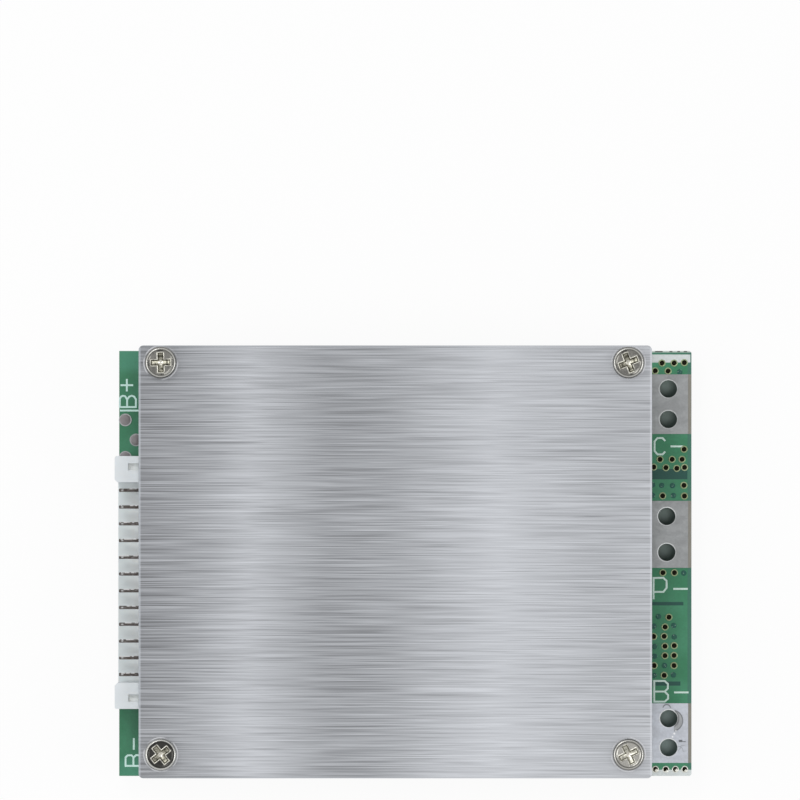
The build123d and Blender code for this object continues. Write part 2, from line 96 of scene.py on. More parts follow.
# A node tree of a material or of the world; every node in it comes from the one method, node
class Tree:
    def __init__(self, owner, outputKind):
        owner.use_nodes = True
        self.tree = owner.node_tree
        self.tree.nodes.clear()
        self.output = self.node(outputKind)

    def plug(self, socket, value):
        if isinstance(value, Wire):
            self.tree.links.new(value.socket, socket)
        elif isinstance(value, tuple) and socket.type == "RGBA":
            socket.default_value = (*value, 1)
        else:
            socket.default_value = value

    def node(self, kind, settings=None, values=None, out=0):
        made = self.tree.nodes.new(kind)
        for word, value in (settings or {}).items():
            if word == "stops":
                while len(made.color_ramp.elements) < len(value):
                    made.color_ramp.elements.new(0.5)
                for element, (at, colour) in zip(made.color_ramp.elements, value):
                    element.position = at
                    element.color = (*colour, 1)
            else:
                setattr(made, word, value)
        for key, value in (values or {}).items():
            self.plug(made.inputs[key], value)
        return Wire(self, made.outputs[out]) if made.outputs else made

    def show(self, shader):
        self.tree.links.new(shader.socket, self.output.inputs[0])

    def raySeen(self):
        # rays from the camera, and those that a shiny or clear surface sends on
        rays = self.node("ShaderNodeLightPath")
        return rays | rays.sister("Is Glossy Ray") | rays.sister("Is Transmission Ray")


# One material: its Principled shader, its place in millimetres, and the patterns that are laid over it
class Paint(Tree):
    def __init__(self, name, **fixed):
        self.material = bpy.data.materials.new(name)
        super().__init__(self.material, "ShaderNodeOutputMaterial")
        self.shader = self.node("ShaderNodeBsdfPrincipled")
        self.set(**fixed)
        self.show(self.shader)
        objectPlace = self.node("ShaderNodeTexCoord", out="Object")
        self.place = self.node("ShaderNodeVectorMath", {"operation": "SCALE"}, {0: objectPlace, 3: 1 / mm})
        self.x = self.node("ShaderNodeSeparateXYZ", values={0: self.place})
        self.y, self.z = self.x.sister("Y"), self.x.sister("Z")

    def set(self, **values):
        for word, value in values.items():
            self.plug(self.shader.socket.node.inputs[word.replace("_", " ")], value)
        return self.material

    def spread(self, size, shift=(0, 0, 0)):
        # the place, counted in steps of size, which is in mm and may differ along each axis
        sizes = size if isinstance(size, tuple) else (size,) * 3
        values = {"Vector": self.place, "Location": shift, "Scale": tuple(1 / step for step in sizes)}
        return self.node("ShaderNodeMapping", {"vector_type": "POINT"}, values)

    def noise(self, size, detail=3.0, rough=0.5, shift=(0, 0, 0), warp=0.0):
        # clouds whose lumps are about size across
        values = {"Vector": self.spread(size, shift), "Scale": 1.0, "Detail": detail, "Roughness": rough,
                  "Distortion": warp}
        return self.node("ShaderNodeTexNoise", {"noise_dimensions": "3D"}, values)

    def cells(self, size):
        # how far off the nearest of many scattered points is, in steps of size
        values = {"Vector": self.spread(size), "Scale": 1.0}
        return self.node("ShaderNodeTexVoronoi", {"feature": "F1"}, values, "Distance")

    def attribute(self, name):
        settings = {"attribute_type": "GEOMETRY", "attribute_name": name}
        return self.node("ShaderNodeAttribute", settings, out="Fac")

    def rise(self, value, low, high, first=0.0, last=1.0):
        # first below low, last above high, and an even curve between
        return self.node("ShaderNodeMapRange", {"interpolation_type": "SMOOTHSTEP", "clamp": True},
                         {"Value": value, "From Min": low, "From Max": high, "To Min": first, "To Max": last})

    def fall(self, value, low, high):
        return self.rise(value, low, high, 1.0, 0.0)

    def between(self, value, low, high, soft=0.05):
        return self.rise(value, low - soft, low + soft) * self.fall(value, high - soft, high + soft)

    def patch(self, left, right, low, high, soft=0.05):
        return self.between(self.x, left, right, soft) * self.between(self.y, low, high, soft)

    def patches(self, rectangles):
        return self.either([self.patch(*rectangle) for rectangle in rectangles])

    def away(self, x, y):
        return ((self.x - x) ** 2.0 + (self.y - y) ** 2.0) ** 0.5

    def spot(self, x, y, radius, soft=0.05):
        return self.fall(self.away(x, y), radius - soft, radius + soft)

    def either(self, masks):
        joined = masks[0]
        for mask in masks[1:]:
            joined = joined | mask
        return joined

    def mix(self, factor, first, second):
        return self.node("ShaderNodeMix", {"data_type": "RGBA", "clamp_factor": True},
                         {0: factor, 6: first, 7: second}, 2)

    def shade(self, colour, factor):
        # a colour made lighter or darker by a number
        return self.node("ShaderNodeVectorMath", {"operation": "SCALE"}, {0: colour, 3: factor})

    def lay(self, mask, tint):
        # a tint, or a colour that varies, over what the surface has so far
        self.colour = self.mix(mask, self.colour, tint)

    def tone(self, factor):
        self.colour = self.shade(self.colour, factor)

    def ramp(self, value, stops):
        return self.node("ShaderNodeValToRGB", {"stops": stops}, {0: value})

    def bump(self, height, distance, strength):
        values = {"Height": height, "Distance": distance * mm, "Strength": strength}
        return self.node("ShaderNodeBump", values=values)

    def finish(self, rough, relief, **others):
        # rough is what rise takes, and relief what bump takes
        others.update(Roughness=self.rise(*rough), Normal=self.bump(*relief))
        return self.set(Base_Color=self.colour, **others)


def dress(material, *names):
    for name in names:
        for slot in nodes[name].material_slots:
            slot.material = material


def nodesLike(*endings):
    return [name for name in nodes if name.endswith(endings)]


# Meshes: points and faces from whole arrays
def gridFaces(rows, columns):
    # the quads between neighbouring rows and columns; the last column is joined to the first
    row, column = np.meshgrid(np.arange(rows - 1), np.arange(columns), indexing="ij")
    beside = (column + 1) % columns
    here, above = row * columns, (row + 1) * columns
    return np.stack([here + column, here + beside, above + beside, above + column], -1).reshape(-1, 4)


def manyFaces(faces, pointCount, copies):
    # the same faces once more for each copy, numbered on from the last
    return (faces[None] + np.arange(copies)[:, None, None] * pointCount).reshape(-1, faces.shape[1])


def circle(columns):
    # angles at even steps, once round
    return np.linspace(0, 2 * np.pi, columns, endpoint=False)


def aroundAxes(radius, angle, height, places):
    # a point lies at its radius and angle round the axis and at its height, all given for each row and
    # column, and the form stands upright at each place
    ring = np.stack([radius * np.cos(angle), radius * np.sin(angle), height], -1)
    origins = np.array([(x, y, 0) for x, y in places], float)
    faces = manyFaces(gridFaces(*radius.shape), radius.size, len(places))
    return origins[:, None, None, :] + ring[None], faces


def turned(profile, places, columns):
    # a profile of radius and height turned once round each axis
    radius, angle = np.meshgrid(profile[:, 0], circle(columns), indexing="ij")
    return aroundAxes(radius, angle, np.broadcast_to(profile[:, 1:2], radius.shape), places)


def newObject(name, data):
    made = bpy.data.objects.new(name, data)
    bpy.context.scene.collection.objects.link(made)
    return made


def makePiece(name, points, faces, material, slot, smooth=True, attributes=None):
    # points in mm; doubles at poles and seams are merged and the faces turned outward
    mesh = bpy.data.meshes.new(name)
    mesh.from_pydata((points.reshape(-1, 3) * mm).tolist(), [], faces.tolist())
    for word, values in (attributes or {}).items():
        column = mesh.attributes.new(word, "FLOAT", "POINT").data
        column.foreach_set("value", values.ravel().astype(np.float32))
    work = bmesh.new()
    work.from_mesh(mesh)
    bmesh.ops.remove_doubles(work, verts=work.verts, dist=1e-7)
    bmesh.ops.recalc_face_normals(work, faces=work.faces)
    work.to_mesh(mesh)
    work.free()
    if smooth:
        mesh.shade_smooth()
    mesh.materials.append(material)
    piece = newObject(name, mesh)
    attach(piece, "root")
    return piece


# Boxes of the main parts, and places of the screws, the terminals and the rows of parts, all in mm
def boxInMm(name):
    return [[round(value / mm, 3) for value in corner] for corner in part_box(name)]


plateLow, plateHigh = boxInMm("heat_spreader_plate")
boardLow, boardHigh = boxInMm("circuit_board")
headerLow, headerHigh = boxInMm("header_housing")
boardTop, boardBottom, plateTop = boardHigh[2], boardLow[2], plateHigh[2]
plateMiddle = round((plateLow[0] + plateHigh[0]) / 2, 3)  # along X
headerMiddle = round((headerLow[1] + headerHigh[1]) / 2, 3)  # along Y

layout = {
    "screws": [(-36.15, 29.7), (33.55, 29.7), (-36.15, -28.7), (33.55, -28.7)],
    "screwTurns": [2, 22, 38, 25],  # degrees, as the crosses stand in the photo
    "transistorPitch": 11.4,
    "discharge": (5, -23.5, -9.7),  # how many transistors, the first one's place along X, the row's along Y
    "charge": (3, -0.7, 4.9),
    "terminalHoles": [(39.6, 25.78), (39.6, 21.22), (39.35, 6.735), (39.35, 1.365), (39.65, -23.48),
                      (39.65, -27.82)],
    "cells": 12,  # as many pins, and as many channels on the lower face
    "pinPitch": 2.5,
    "channelPitch": 4.6,
    "channelMiddle": -0.3,
    "chips": (-2.55, [13.7, -2.3]),  # the two logic chips on the lower face: along X, and along Y
}
steps = np.arange(layout["cells"]) - (layout["cells"] - 1) / 2
pinRow = headerMiddle + layout["pinPitch"] * steps
channelRow = layout["channelMiddle"] + layout["channelPitch"] * steps
dischargeRow, chargeRow = [(first + layout["transistorPitch"] * np.arange(count), y)
                           for count, first, y in (layout["discharge"], layout["charge"])]

# Heat spreader plate: brushed along X, with broad light and dark bands of painted reflection
plateLook = {
    "bands": [(0.0, 0.262), (0.10, 0.325), (0.215, 0.455), (0.36, 0.305), (0.43, 0.318), (0.50, 0.345),
              (0.60, 0.432), (0.70, 0.500), (0.80, 0.452), (0.90, 0.412), (1.0, 0.415)],  # along X, how light
    "hairBands": [(0.0, 0.98), (0.09, 0.96), (0.22, 0.22), (0.355, 0.72), (0.49, 0.84), (0.625, 0.34),
                  (0.765, 0.26), (0.90, 0.66), (1.0, 0.70)],  # along X, how clear the hairs are
    "tint": (0.993, 1.023, 1.080),
    "hairSize": (16.0, 0.17, 3.0),
    "strandSize": (28.8, 0.6, 3.0),
    "hairDepth": 1.7,
    "fraySize": (34.0, 0.35, 3.0),
    "frayReach": 18.0,  # how far a band's border is drawn out along the hairs
    "cloudSize": (55.0, 9.0, 9.0),
    "cloudReach": 5.0,
    "scratchSize": (12.0, 0.12, 2.0),
    "glanceSize": (9.0, 0.12, 2.0),
    # the next two: painted light across the plate's width
    "lowLight": (-30.0, -14.0, 1.075, 1.0),  # a little lighter towards -Y, a little darker towards +Y
    "highLight": (9.0, 17.0, 1.012, 0.975),
    "endRim": (-0.37, -0.20),  # where the painted highlight on the rim starts and is full, from the plate's border
    "longRim": (-0.25, -0.13),
    "rims": [(0.48, 0.51, 0.55), (0.62, 0.64, 0.68)],
    # a painted highlight in a ring round each screw
    "lipRadii": (2.44, 2.60),
    "lip": (0.66, 0.67, 0.70),
    "sideTop": (-0.30, -0.22),  # below the top face
    "side": (0.50, 0.51, 0.52),
}


def brushedPlate():
    paint = Paint("brushedPlate", Metallic=1.0)
    look = plateLook
    hair = paint.noise(look["hairSize"], detail=1.5)
    strand = paint.noise(look["strandSize"], detail=2.0, shift=(3, 7, 0))
    fray = paint.noise(look["fraySize"], detail=3.0, rough=0.6, shift=(1, 4, 0))
    cloud = paint.noise(look["cloudSize"], detail=1.0, shift=(9, 2, 0))
    drawnOut = paint.x + (fray - 0.5) * look["frayReach"] + (cloud - 0.5) * look["cloudReach"]
    share = (drawnOut - plateLow[0]) / (plateHigh[0] - plateLow[0])
    stops = [(at, tuple(light * tint for tint in look["tint"])) for at, light in look["bands"]]
    # painted reflection: broad light and dark bands along X
    bands = paint.ramp(share, stops)
    clear = paint.ramp(share, [(at, (depth,) * 3) for at, depth in look["hairBands"]]) * look["hairDepth"]
    light = 1.0 + (hair - 0.5 + (strand - 0.5) * 0.35) * clear
    scratch = paint.rise(paint.noise(look["scratchSize"], detail=1.0, shift=(5, 0, 2)), 0.60, 0.70)
    glance = paint.rise(paint.noise(look["glanceSize"], detail=1.0, shift=(2, 3, 6)), 0.62, 0.72)
    # painted light: lighter towards -Y and darker towards +Y
    acrossLight = paint.rise(paint.y, *look["lowLight"]) * paint.rise(paint.y, *look["highLight"])
    paint.colour = paint.shade(bands, (light - scratch * 0.20 + glance * 0.12) * acrossLight)

    # a painted highlight in a broken ring round each screw
    inner, outer = look["lipRadii"]
    highlightRings = paint.either([paint.spot(x, y, outer, 0.06) - paint.spot(x, y, inner, 0.05)
                         for x, y in layout["screws"]])
    broken = paint.rise(paint.noise(2.6, detail=1.0, shift=(4, 1, 1)), 0.40, 0.55)
    paint.lay(highlightRings * broken * 0.75, look["lip"])

    # painted highlights along the border, lighter at the end with the terminals, and sawn sides
    ends = paint.rise(abs(paint.x - plateMiddle) - (plateHigh[0] - plateMiddle), *look["endRim"])
    rim = ends | paint.rise(abs(paint.y) - plateHigh[1], *look["longRim"]) * 0.7
    paint.lay(rim * 0.62, paint.mix(paint.rise(paint.x, -20.0, 20.0), *look["rims"]))
    side = paint.fall(paint.z - plateTop, *look["sideTop"])
    sawn = paint.noise((0.12, 0.12, 6.0), detail=2.0)
    paint.lay(side, paint.shade(look["side"], 0.8 + sawn * 0.4))
    return paint.finish((hair, 0.3, 0.7, 0.34, 0.46), (hair + strand * 0.5, 0.02, 0.35))


dress(brushedPlate(), "heat_spreader_plate")
print("plate done")

# Circuit board: green mask over copper, tinned bands, bare laminate at the edges. A rectangle is given by
# its left, right, low and high side, and by how soft its border is where that isn't the usual 0.05
boardLook = {
    "mask": (0.032, 0.190, 0.092),
    "maskLight": (0.052, 0.235, 0.128),
    "maskDark": (0.004, 0.064, 0.056),
    "maskCopper": (0.070, 0.290, 0.150),
    "maskShade": (0.018, 0.078, 0.052),
    "maskCorner": (0.090, 0.330, 0.240),
    "teal": (0.060, 0.175, 0.140),
    "laminate": (0.300, 0.288, 0.250),
    "sawn": (0.36, 0.35, 0.20),
    "tinBand": (0.60, 0.64, 0.64),
    "tinRim": (0.66, 0.71, 0.68),
    "print": (0.60, 0.72, 0.66),
    "cutVia": (0.025, 0.035, 0.030),
    "rungSpan": (-32.0, -14.0),  # tracks from the channels to the pins, and feeds across them
    "feedPitch": 1.9,
    "feedSpan": (-31.5, -13.0, -29.5, 28.8),
    "pours": [(-12.0, 41.5, -26.6, -12.0, 0.03), (5.0, 41.5, -8.6, 27.0, 0.03)],
    "innerPours": [(-29.0, 36.0, -18.8, -3.0, 0.03), (-6.5, 36.0, -1.2, 14.4, 0.03)],
    "chipLine": (1.9, 4.70, 0.08),  # half its length, how far it is from the chip's middle, half its width
    "chipDot": (-3.8, 3.81, 0.28),
    "channelDot": (-22.05, 0.95, 0.15),
    # painted light at the header end's corners
    "corners": [(-42.5, -39.0, 28.5, 32.0, 0.8), (-42.5, -39.0, -32.4, -29.5, 0.8)],
    "darkBands": [(37.0, 42.45, 12.27, 13.8, 0.06), (37.0, 41.85, -6.57, -6.05, 0.06),
                  (37.0, 41.4, -18.57, -17.93, 0.06)],
    "bareSpan": (42.4, 44.0),  # past each terminal
    "tinBands": [(37.0, 42.88, 29.72, 30.92, 0.06), (37.0, 44.0, -32.4, -31.12)],
    "tealLine": (37.0, 44.0, 30.95, 31.2, 0.03),
    "cutVias": [(37.60, 38.75), (39.75, 40.20), (40.93, 41.33), (41.90, 42.40)],
    "cutSpan": (31.29, 32.0, 0.08),
}


def underPrint(paint, channel):
    # white print on the lower face: lines at the logic chips' ends, and a dot at each chip's first lead
    look = boardLook
    middle, rows = layout["chips"]
    half, away, thick = look["chipLine"]
    lines = [(middle - half, middle + half, y + way * away - thick, y + way * away + thick, 0.02)
             for y in rows for way in (1, -1)]
    dotX, dotY, dotRadius = look["chipDot"]
    dots = [paint.spot(middle + dotX, y + dotY, dotRadius, 0.03) for y in rows]
    leadX, leadY, leadDot = look["channelDot"]
    pitch = layout["channelPitch"]
    fromLead = ((paint.x - leadX) ** 2.0 + (channel * pitch - pitch / 2 + leadY) ** 2.0) ** 0.5
    leadDots = paint.fall(fromLead, leadDot - 0.02, leadDot + 0.02)
    return paint.patches(lines) | paint.either(dots) | leadDots


def greenBoard():
    look = boardLook
    paint = Paint("greenBoard", Coat_Roughness=0.15, Specular_IOR_Level=0.35)
    weave = paint.noise(0.45, detail=2.0)
    cloudy = paint.noise(5.0, detail=2.0, shift=(2, 5, 1))
    paint.colour = paint.mix(paint.rise(cloudy, 0.35, 0.7), look["mask"], look["maskLight"])
    paint.tone(0.86 + weave * 0.28)
    top = paint.rise(paint.z, boardTop - 0.02, boardTop - 0.005)
    under = paint.fall(paint.z, boardBottom + 0.005, boardBottom + 0.02)

    # under the plate and on the lower face the copper tracks show through the mask
    channel = abs((paint.y - layout["channelMiddle"]) / layout["channelPitch"] % 1.0 - 0.5)
    rungs = paint.fall(abs(channel - 0.25), 0.045, 0.075) * paint.between(paint.x, *look["rungSpan"], 0.1)
    feeds = paint.fall(abs((paint.x + 0.2) / look["feedPitch"] % 1.0 - 0.5), 0.14, 0.18)
    feeds = feeds * paint.patch(*look["feedSpan"])
    copper = (rungs | (feeds * 0.6) | paint.patches(look["pours"])) * under
    paint.lay(copper * 0.8, look["maskCopper"])
    innerPour = paint.patches(look["innerPours"]) * top
    paint.lay(innerPour * 0.55, look["maskLight"])
    # painted light: the top face lighter towards the terminals' end, against the plate's shade
    paint.tone(paint.rise(paint.x * top, 30.0, 37.0, 1.0, 1.24))
    paint.lay(underPrint(paint, channel) * under, look["print"])

    # the end with the header: painted shade, lighter at the outside and darker beside the plate, and painted
    # light at its corners
    leftShade = paint.rise(paint.x, -41.9, -39.6) * paint.fall(paint.x, -39.0, -38.0) * top
    paint.lay(leftShade * 0.30, look["maskShade"])
    paint.lay(paint.patches(look["corners"]) * top * 0.35, look["maskCorner"])

    # the end with the terminals: dark bands that have no copper, and a margin
    paint.lay(paint.patches(look["darkBands"]) * top * 0.9, look["maskDark"])
    margin = paint.rise(paint.x, 42.42, 42.5)
    paint.lay(margin * top * 0.7, look["teal"])

    # bare laminate past the pads, tinned bands along both long edges, and dark dashes along one
    pads = [boxInMm(name) for name in ("c_terminal", "p_terminal", "b_terminal")]
    bare = paint.patches([(*look["bareSpan"], low[1], high[1]) for low, high in pads]) * top
    fibres = paint.noise((0.3, 2.5, 0.3), detail=2.0, shift=(0, 3, 3))
    paint.lay(bare, paint.shade(look["laminate"], 0.8 + fibres * 0.45))
    tinned = paint.patches(look["tinBands"]) * top
    mottle = paint.noise(0.9, detail=3.0, shift=(4, 4, 4))
    paint.lay(tinned, paint.shade(look["tinBand"], 0.82 + mottle * 0.4))
    paint.lay(paint.patch(*look["tealLine"]) * top * 0.6, look["teal"])
    rimLine = paint.rise(paint.y, 31.20, 31.26) * paint.rise(paint.x, 36.9, 37.0) * top
    paint.lay(rimLine * 0.9, look["tinRim"])
    # dark dashes along the upper edge
    dashes = paint.patches([(*cut, *look["cutSpan"]) for cut in look["cutVias"]])
    paint.lay(dashes * top, look["cutVia"])

    # sawn edge of the laminate: layers of glass cloth
    edge = (1 - top) * (1 - under)
    layers = paint.noise((1.4, 1.4, 0.11), detail=2.0, shift=(1, 1, 6))
    paint.lay(edge, paint.shade(look["sawn"], 0.72 + layers * 0.55))
    relief = (copper | innerPour) * 0.5 + weave * 0.12
    return paint.finish((weave, 0.2, 0.8, 0.36, 0.48), (relief, 0.03, 0.5), Metallic=tinned * 0.75,
                        Coat_Weight=(1 - (edge | bare | tinned)) * 0.25)


dress(greenBoard(), "circuit_board")
print("board done")

# Terminals and other hot-tinned copper
tinLook = {
    "plain": [(0.280, 0.288, 0.292), (0.325, 0.335, 0.340)],  # where the tin lies thin, and where thick
    "bright": [(0.480, 0.500, 0.545), (0.535, 0.560, 0.615)],
    "wall": (0.050, 0.062, 0.056),
    # lip and lipRadii: a painted highlight round each hole
    "lip": (0.74, 0.76, 0.76),
    "lipRadii": (1.38, 1.47),
    "lipWear": [0.55, 0.55, 0.95, 0.95, 0.95, 0.95],  # one for each terminal hole
    "smear": (0.34, 0.35, 0.36),
    "smearPlace": (40.17, -23.79, 1.49),
    "smearBorder": (0.12, 0.125, 0.13),
    "hook": (0.14, 0.145, 0.15),
    "hookPlaces": [(39.35, -21.90, 0.62), (39.35, -21.98, 0.50)],  # a disk, and what is cut out of it
    "scrawl": (0.07, 0.075, 0.08),
    "scrawlPlace": (41.6, -27.9, 0.7, 0.2),
    "scrawlLines": [(41.15, 41.7, -26.98, -26.66, 0.1), (41.5, 42.2, -26.98, -26.86, 0.06)],
    "fleck": (0.84, 0.84, 0.84),
    "fleckPlaces": [(40.48, -25.72, 0.15), (40.22, -26.2, 0.13), (40.72, -25.3, 0.09)],
}


def scuffs(paint):
    # where a lead was soldered on once and wiped off again: a smear with a dark border right of the upper
    # hole, a dark hook above it, a scrawl beside the lower hole, and white flecks between the two
    look = tinLook
    top = paint.rise(paint.z, boardTop, boardTop + 0.05)
    right = paint.rise(paint.x, 40.35, 40.65) * top
    streaks = paint.noise((0.12, 1.2, 1.0), detail=1.0)
    fromHole = paint.away(*layout["terminalHoles"][4])
    # the smear is real, and its darkening towards the hole is painted shade beside the hole
    smear = paint.shade(look["smear"], paint.rise(fromHole, 1.35, 1.75, 0.35, 1.0) * (0.7 + streaks * 0.6))
    x, y, radius = look["smearPlace"]
    paint.lay(paint.spot(x, y, radius + 0.16) * right * 0.8, look["smearBorder"])
    paint.lay(paint.spot(x, y, radius) * right, smear)
    disk, cut = [paint.spot(*place) for place in look["hookPlaces"]]
    paint.lay((disk - cut) * paint.rise(paint.y, -21.95, -21.8) * top * 0.8, look["hook"])
    thread = paint.fall(abs(paint.noise(1.1, detail=1.0, shift=(8, 8, 0)) - 0.5), 0.0, 0.03)
    first, second = [paint.patch(*line) for line in look["scrawlLines"]]
    scrawl = (thread * paint.spot(*look["scrawlPlace"]) * 0.6 | first | second * 0.9) * top
    paint.lay(scrawl * 0.9, look["scrawl"])
    flecks = paint.either([paint.spot(*place) for place in look["fleckPlaces"]]) * top
    paint.lay(flecks * 0.85, look["fleck"])


def tinned(name, tones, scuffed=False, ripple=0.35, holes=False):
    look = tinLook
    paint = Paint(name, Metallic=0.9)
    flow = paint.noise((3.2, 1.6, 2.0), detail=3.0, warp=0.6)
    grain = paint.noise(0.35, detail=2.0, shift=(6, 1, 0))
    paint.colour = paint.mix(paint.rise(flow, 0.35, 0.68), *look[tones])
    # grain, and painted light that makes the tin lighter towards the plate, against the plate's shade
    paint.tone((0.88 + grain * 0.26) * paint.rise(paint.x, 37.0, 41.0, 1.14, 0.98))
    if scuffed:
        scuffs(paint)
    if holes:  # a painted highlight in a ring round each hole, brightest towards the upper left, and weakest at the charger's
        for (x, y), highlightShare in zip(layout["terminalHoles"], look["lipWear"]):
            lit = paint.rise((paint.y - y) - (paint.x - x) + grain * 2.4, -1.2, 2.6, 0.16, 1.0) * highlightShare
            paint.lay(paint.fall(paint.away(x, y), *look["lipRadii"]) * lit, look["lip"])
    # painted shade: the hole's wall inside the board made nearly black
    inside = paint.fall(paint.z, boardTop - 0.1, boardTop + 0.05)
    inside = inside * paint.rise(paint.z, boardBottom - 0.05, boardBottom + 0.05)
    paint.lay(inside * 0.9, look["wall"])
    return paint.finish((flow, 0.3, 0.7, 0.48, 0.34), (flow + grain * 0.25, 0.05, ripple))


dress(tinned("plainPad", "plain", holes=True), "c_terminal", "p_terminal")
dress(tinned("batteryPad", "bright", scuffed=True, holes=True), "b_terminal")
dress(tinned("wirePad", "plain"), "wire_pads")
dress(tinned("solderedTrack", "bright", ripple=0.9), "power_tracks")
print("terminals done")

# Cell header: moulded nylon, dull pins. What lies along Y is measured from the header's middle
headerLook = {
    "nylon": (0.755, 0.795, 0.820),
    "nylonShade": (0.715, 0.755, 0.780),
    # mouth and mouthInner: painted light on the mouth's floor
    "mouth": (0.760, 0.820, 0.830),
    "mouthInner": (0.900, 0.935, 0.940),
    "mouthReach": (14.65, 14.95),  # along Y
    "mouthTop": (4.9, 5.4),  # along Z
    # painted light in the slot: lighter in its shaded part, darker in its lit part
    "slotWall": (0.930, 0.955, 0.950),
    "slotFloor": (0.720, 0.760, 0.765),
    "slotSpan": (-41.2, -36.3),  # along X
    "slotStart": (16.0, 16.2),  # along Y
    "gate": (0.560, 0.600, 0.615),  # round mark where the plastic was let in
    "gatePlace": (-34.6, 0.55),  # along X, and its radius
    "slotMiddle": (-38.75, 16.9),  # along X and Y, and half of its sides
    "slotHalf": (2.31, 0.56),
    "slotFloorHeight": 9.0,
    "pocketHalf": 0.21,  # of the narrower pocket in that floor
    "slotShift": 0.34,  # how far the slots in the end blocks lie towards the header's ends
    "mouthCorner": 14.95,  # along Y
    "cornerCut": 0.42,
    "edgeRound": 0.09,
    "pin": (0.085, 0.074, 0.070),
    "pinStain": (0.060, 0.048, 0.042),
    "pinWear": (0.240, 0.230, 0.225),
    "pinDot": (0.52, 0.53, 0.53),
    "pinGlint": (0.80, 0.80, 0.80),
    "pinFoot": (0.52, 0.52, 0.51),
}


def nylon():
    look = headerLook
    paint = Paint("nylon", Subsurface_Weight=0.12, Subsurface_Radius=(1.0, 0.9, 0.8), Subsurface_Scale=0.0004,
                  IOR=1.5)
    cloudy = paint.noise(3.5, detail=2.0)
    pitted = paint.noise(0.16, detail=1.0, shift=(2, 2, 2))
    paint.colour = paint.mix(paint.rise(cloudy, 0.3, 0.75), look["nylon"], look["nylonShade"])
    fromMiddle = abs(paint.y - headerMiddle)
    # painted light: the mouth's floor lighter than the nylon, most towards the plate and towards +Y, against
    # the shade of the plate and the pins
    mouth = paint.fall(fromMiddle, *look["mouthReach"]) * paint.fall(paint.z, *look["mouthTop"])
    floor = paint.mix(paint.rise(paint.x, -42.3, -39.3), look["mouth"], look["mouthInner"])
    paint.lay(mouth, paint.shade(floor, paint.rise(paint.y, -4.0, 11.0, 0.98, 1.06)))
    slot = paint.between(paint.x, *look["slotSpan"]) * paint.rise(fromMiddle, *look["slotStart"])
    slot = slot * paint.between(paint.z, look["slotFloorHeight"] - 0.1, headerHigh[2] - 0.1)
    # painted light in the slot: lighter towards the front, where it lies in shade, and darker further in,
    # where the lamp reaches it
    lit = paint.rise(paint.x, -40.8, -39.0)
    paint.lay(slot, paint.mix(lit, look["slotWall"], look["slotFloor"]))
    gateX, gateRadius = look["gatePlace"]
    gate = paint.spot(gateX, headerMiddle, gateRadius, 0.06)
    paint.lay(gate * 0.3, look["gate"])
    return paint.finish((pitted, 0.3, 0.7, 0.42, 0.52), (pitted + gate * 1.5, 0.015, 0.4))


def dullPin():
    # tarnished brown, with a painted highlight behind the tip and painted white glints along one edge
    look = headerLook
    paint = Paint("dullPin", Metallic=0.6)
    drawn = paint.noise((1.6, 0.08, 0.08), detail=2.0)
    stain = paint.noise(1.1, detail=2.0, shift=(4, 0, 1))
    paint.colour = paint.mix(paint.rise(stain, 0.35, 0.65), look["pin"], look["pinStain"])
    pinTop = boxInMm("header_pins")[1][2]
    top = paint.rise(paint.z, pinTop - 0.05, pinTop - 0.01)
    wear = paint.rise(paint.noise((0.55, 0.14, 0.5), detail=2.0, shift=(1, 9, 2)), 0.50, 0.62) * top
    paint.lay(wear * 0.55, look["pinWear"])
    side = (paint.y - headerMiddle) / layout["pinPitch"] % 1.0  # half a pitch on the pin's middle line
    across = abs(side - 0.5) * layout["pinPitch"]
    tipHighlight = paint.between(paint.x, -42.1, -41.8, 0.1) * paint.fall(across, 0.05, 0.16)
    paint.lay(tipHighlight * 0.85, look["pinDot"])
    glint = paint.rise(paint.noise((0.5, 5.0, 5.0), detail=1.0, shift=(2, 2, 2)), 0.46, 0.56)
    glint = glint * paint.rise(side, 0.545, 0.57)
    paint.lay(glint * top * 0.9, look["pinGlint"])
    foot = paint.rise(paint.x, -32.9, -32.5)
    paint.lay(foot, look["pinFoot"])
    paint.tone(0.8 + drawn * 0.4)
    return paint.finish((drawn, 0.3, 0.7, 0.42, 0.30), (drawn, 0.02, 0.3))


def atMouthCorner(vertex):
    # at the front, where the mouth meets an end block
    x, y, z = vertex.co / mm
    return abs(x - headerLow[0]) < 0.001 and abs(abs(y - headerMiddle) - headerLook["mouthCorner"]) < 0.02


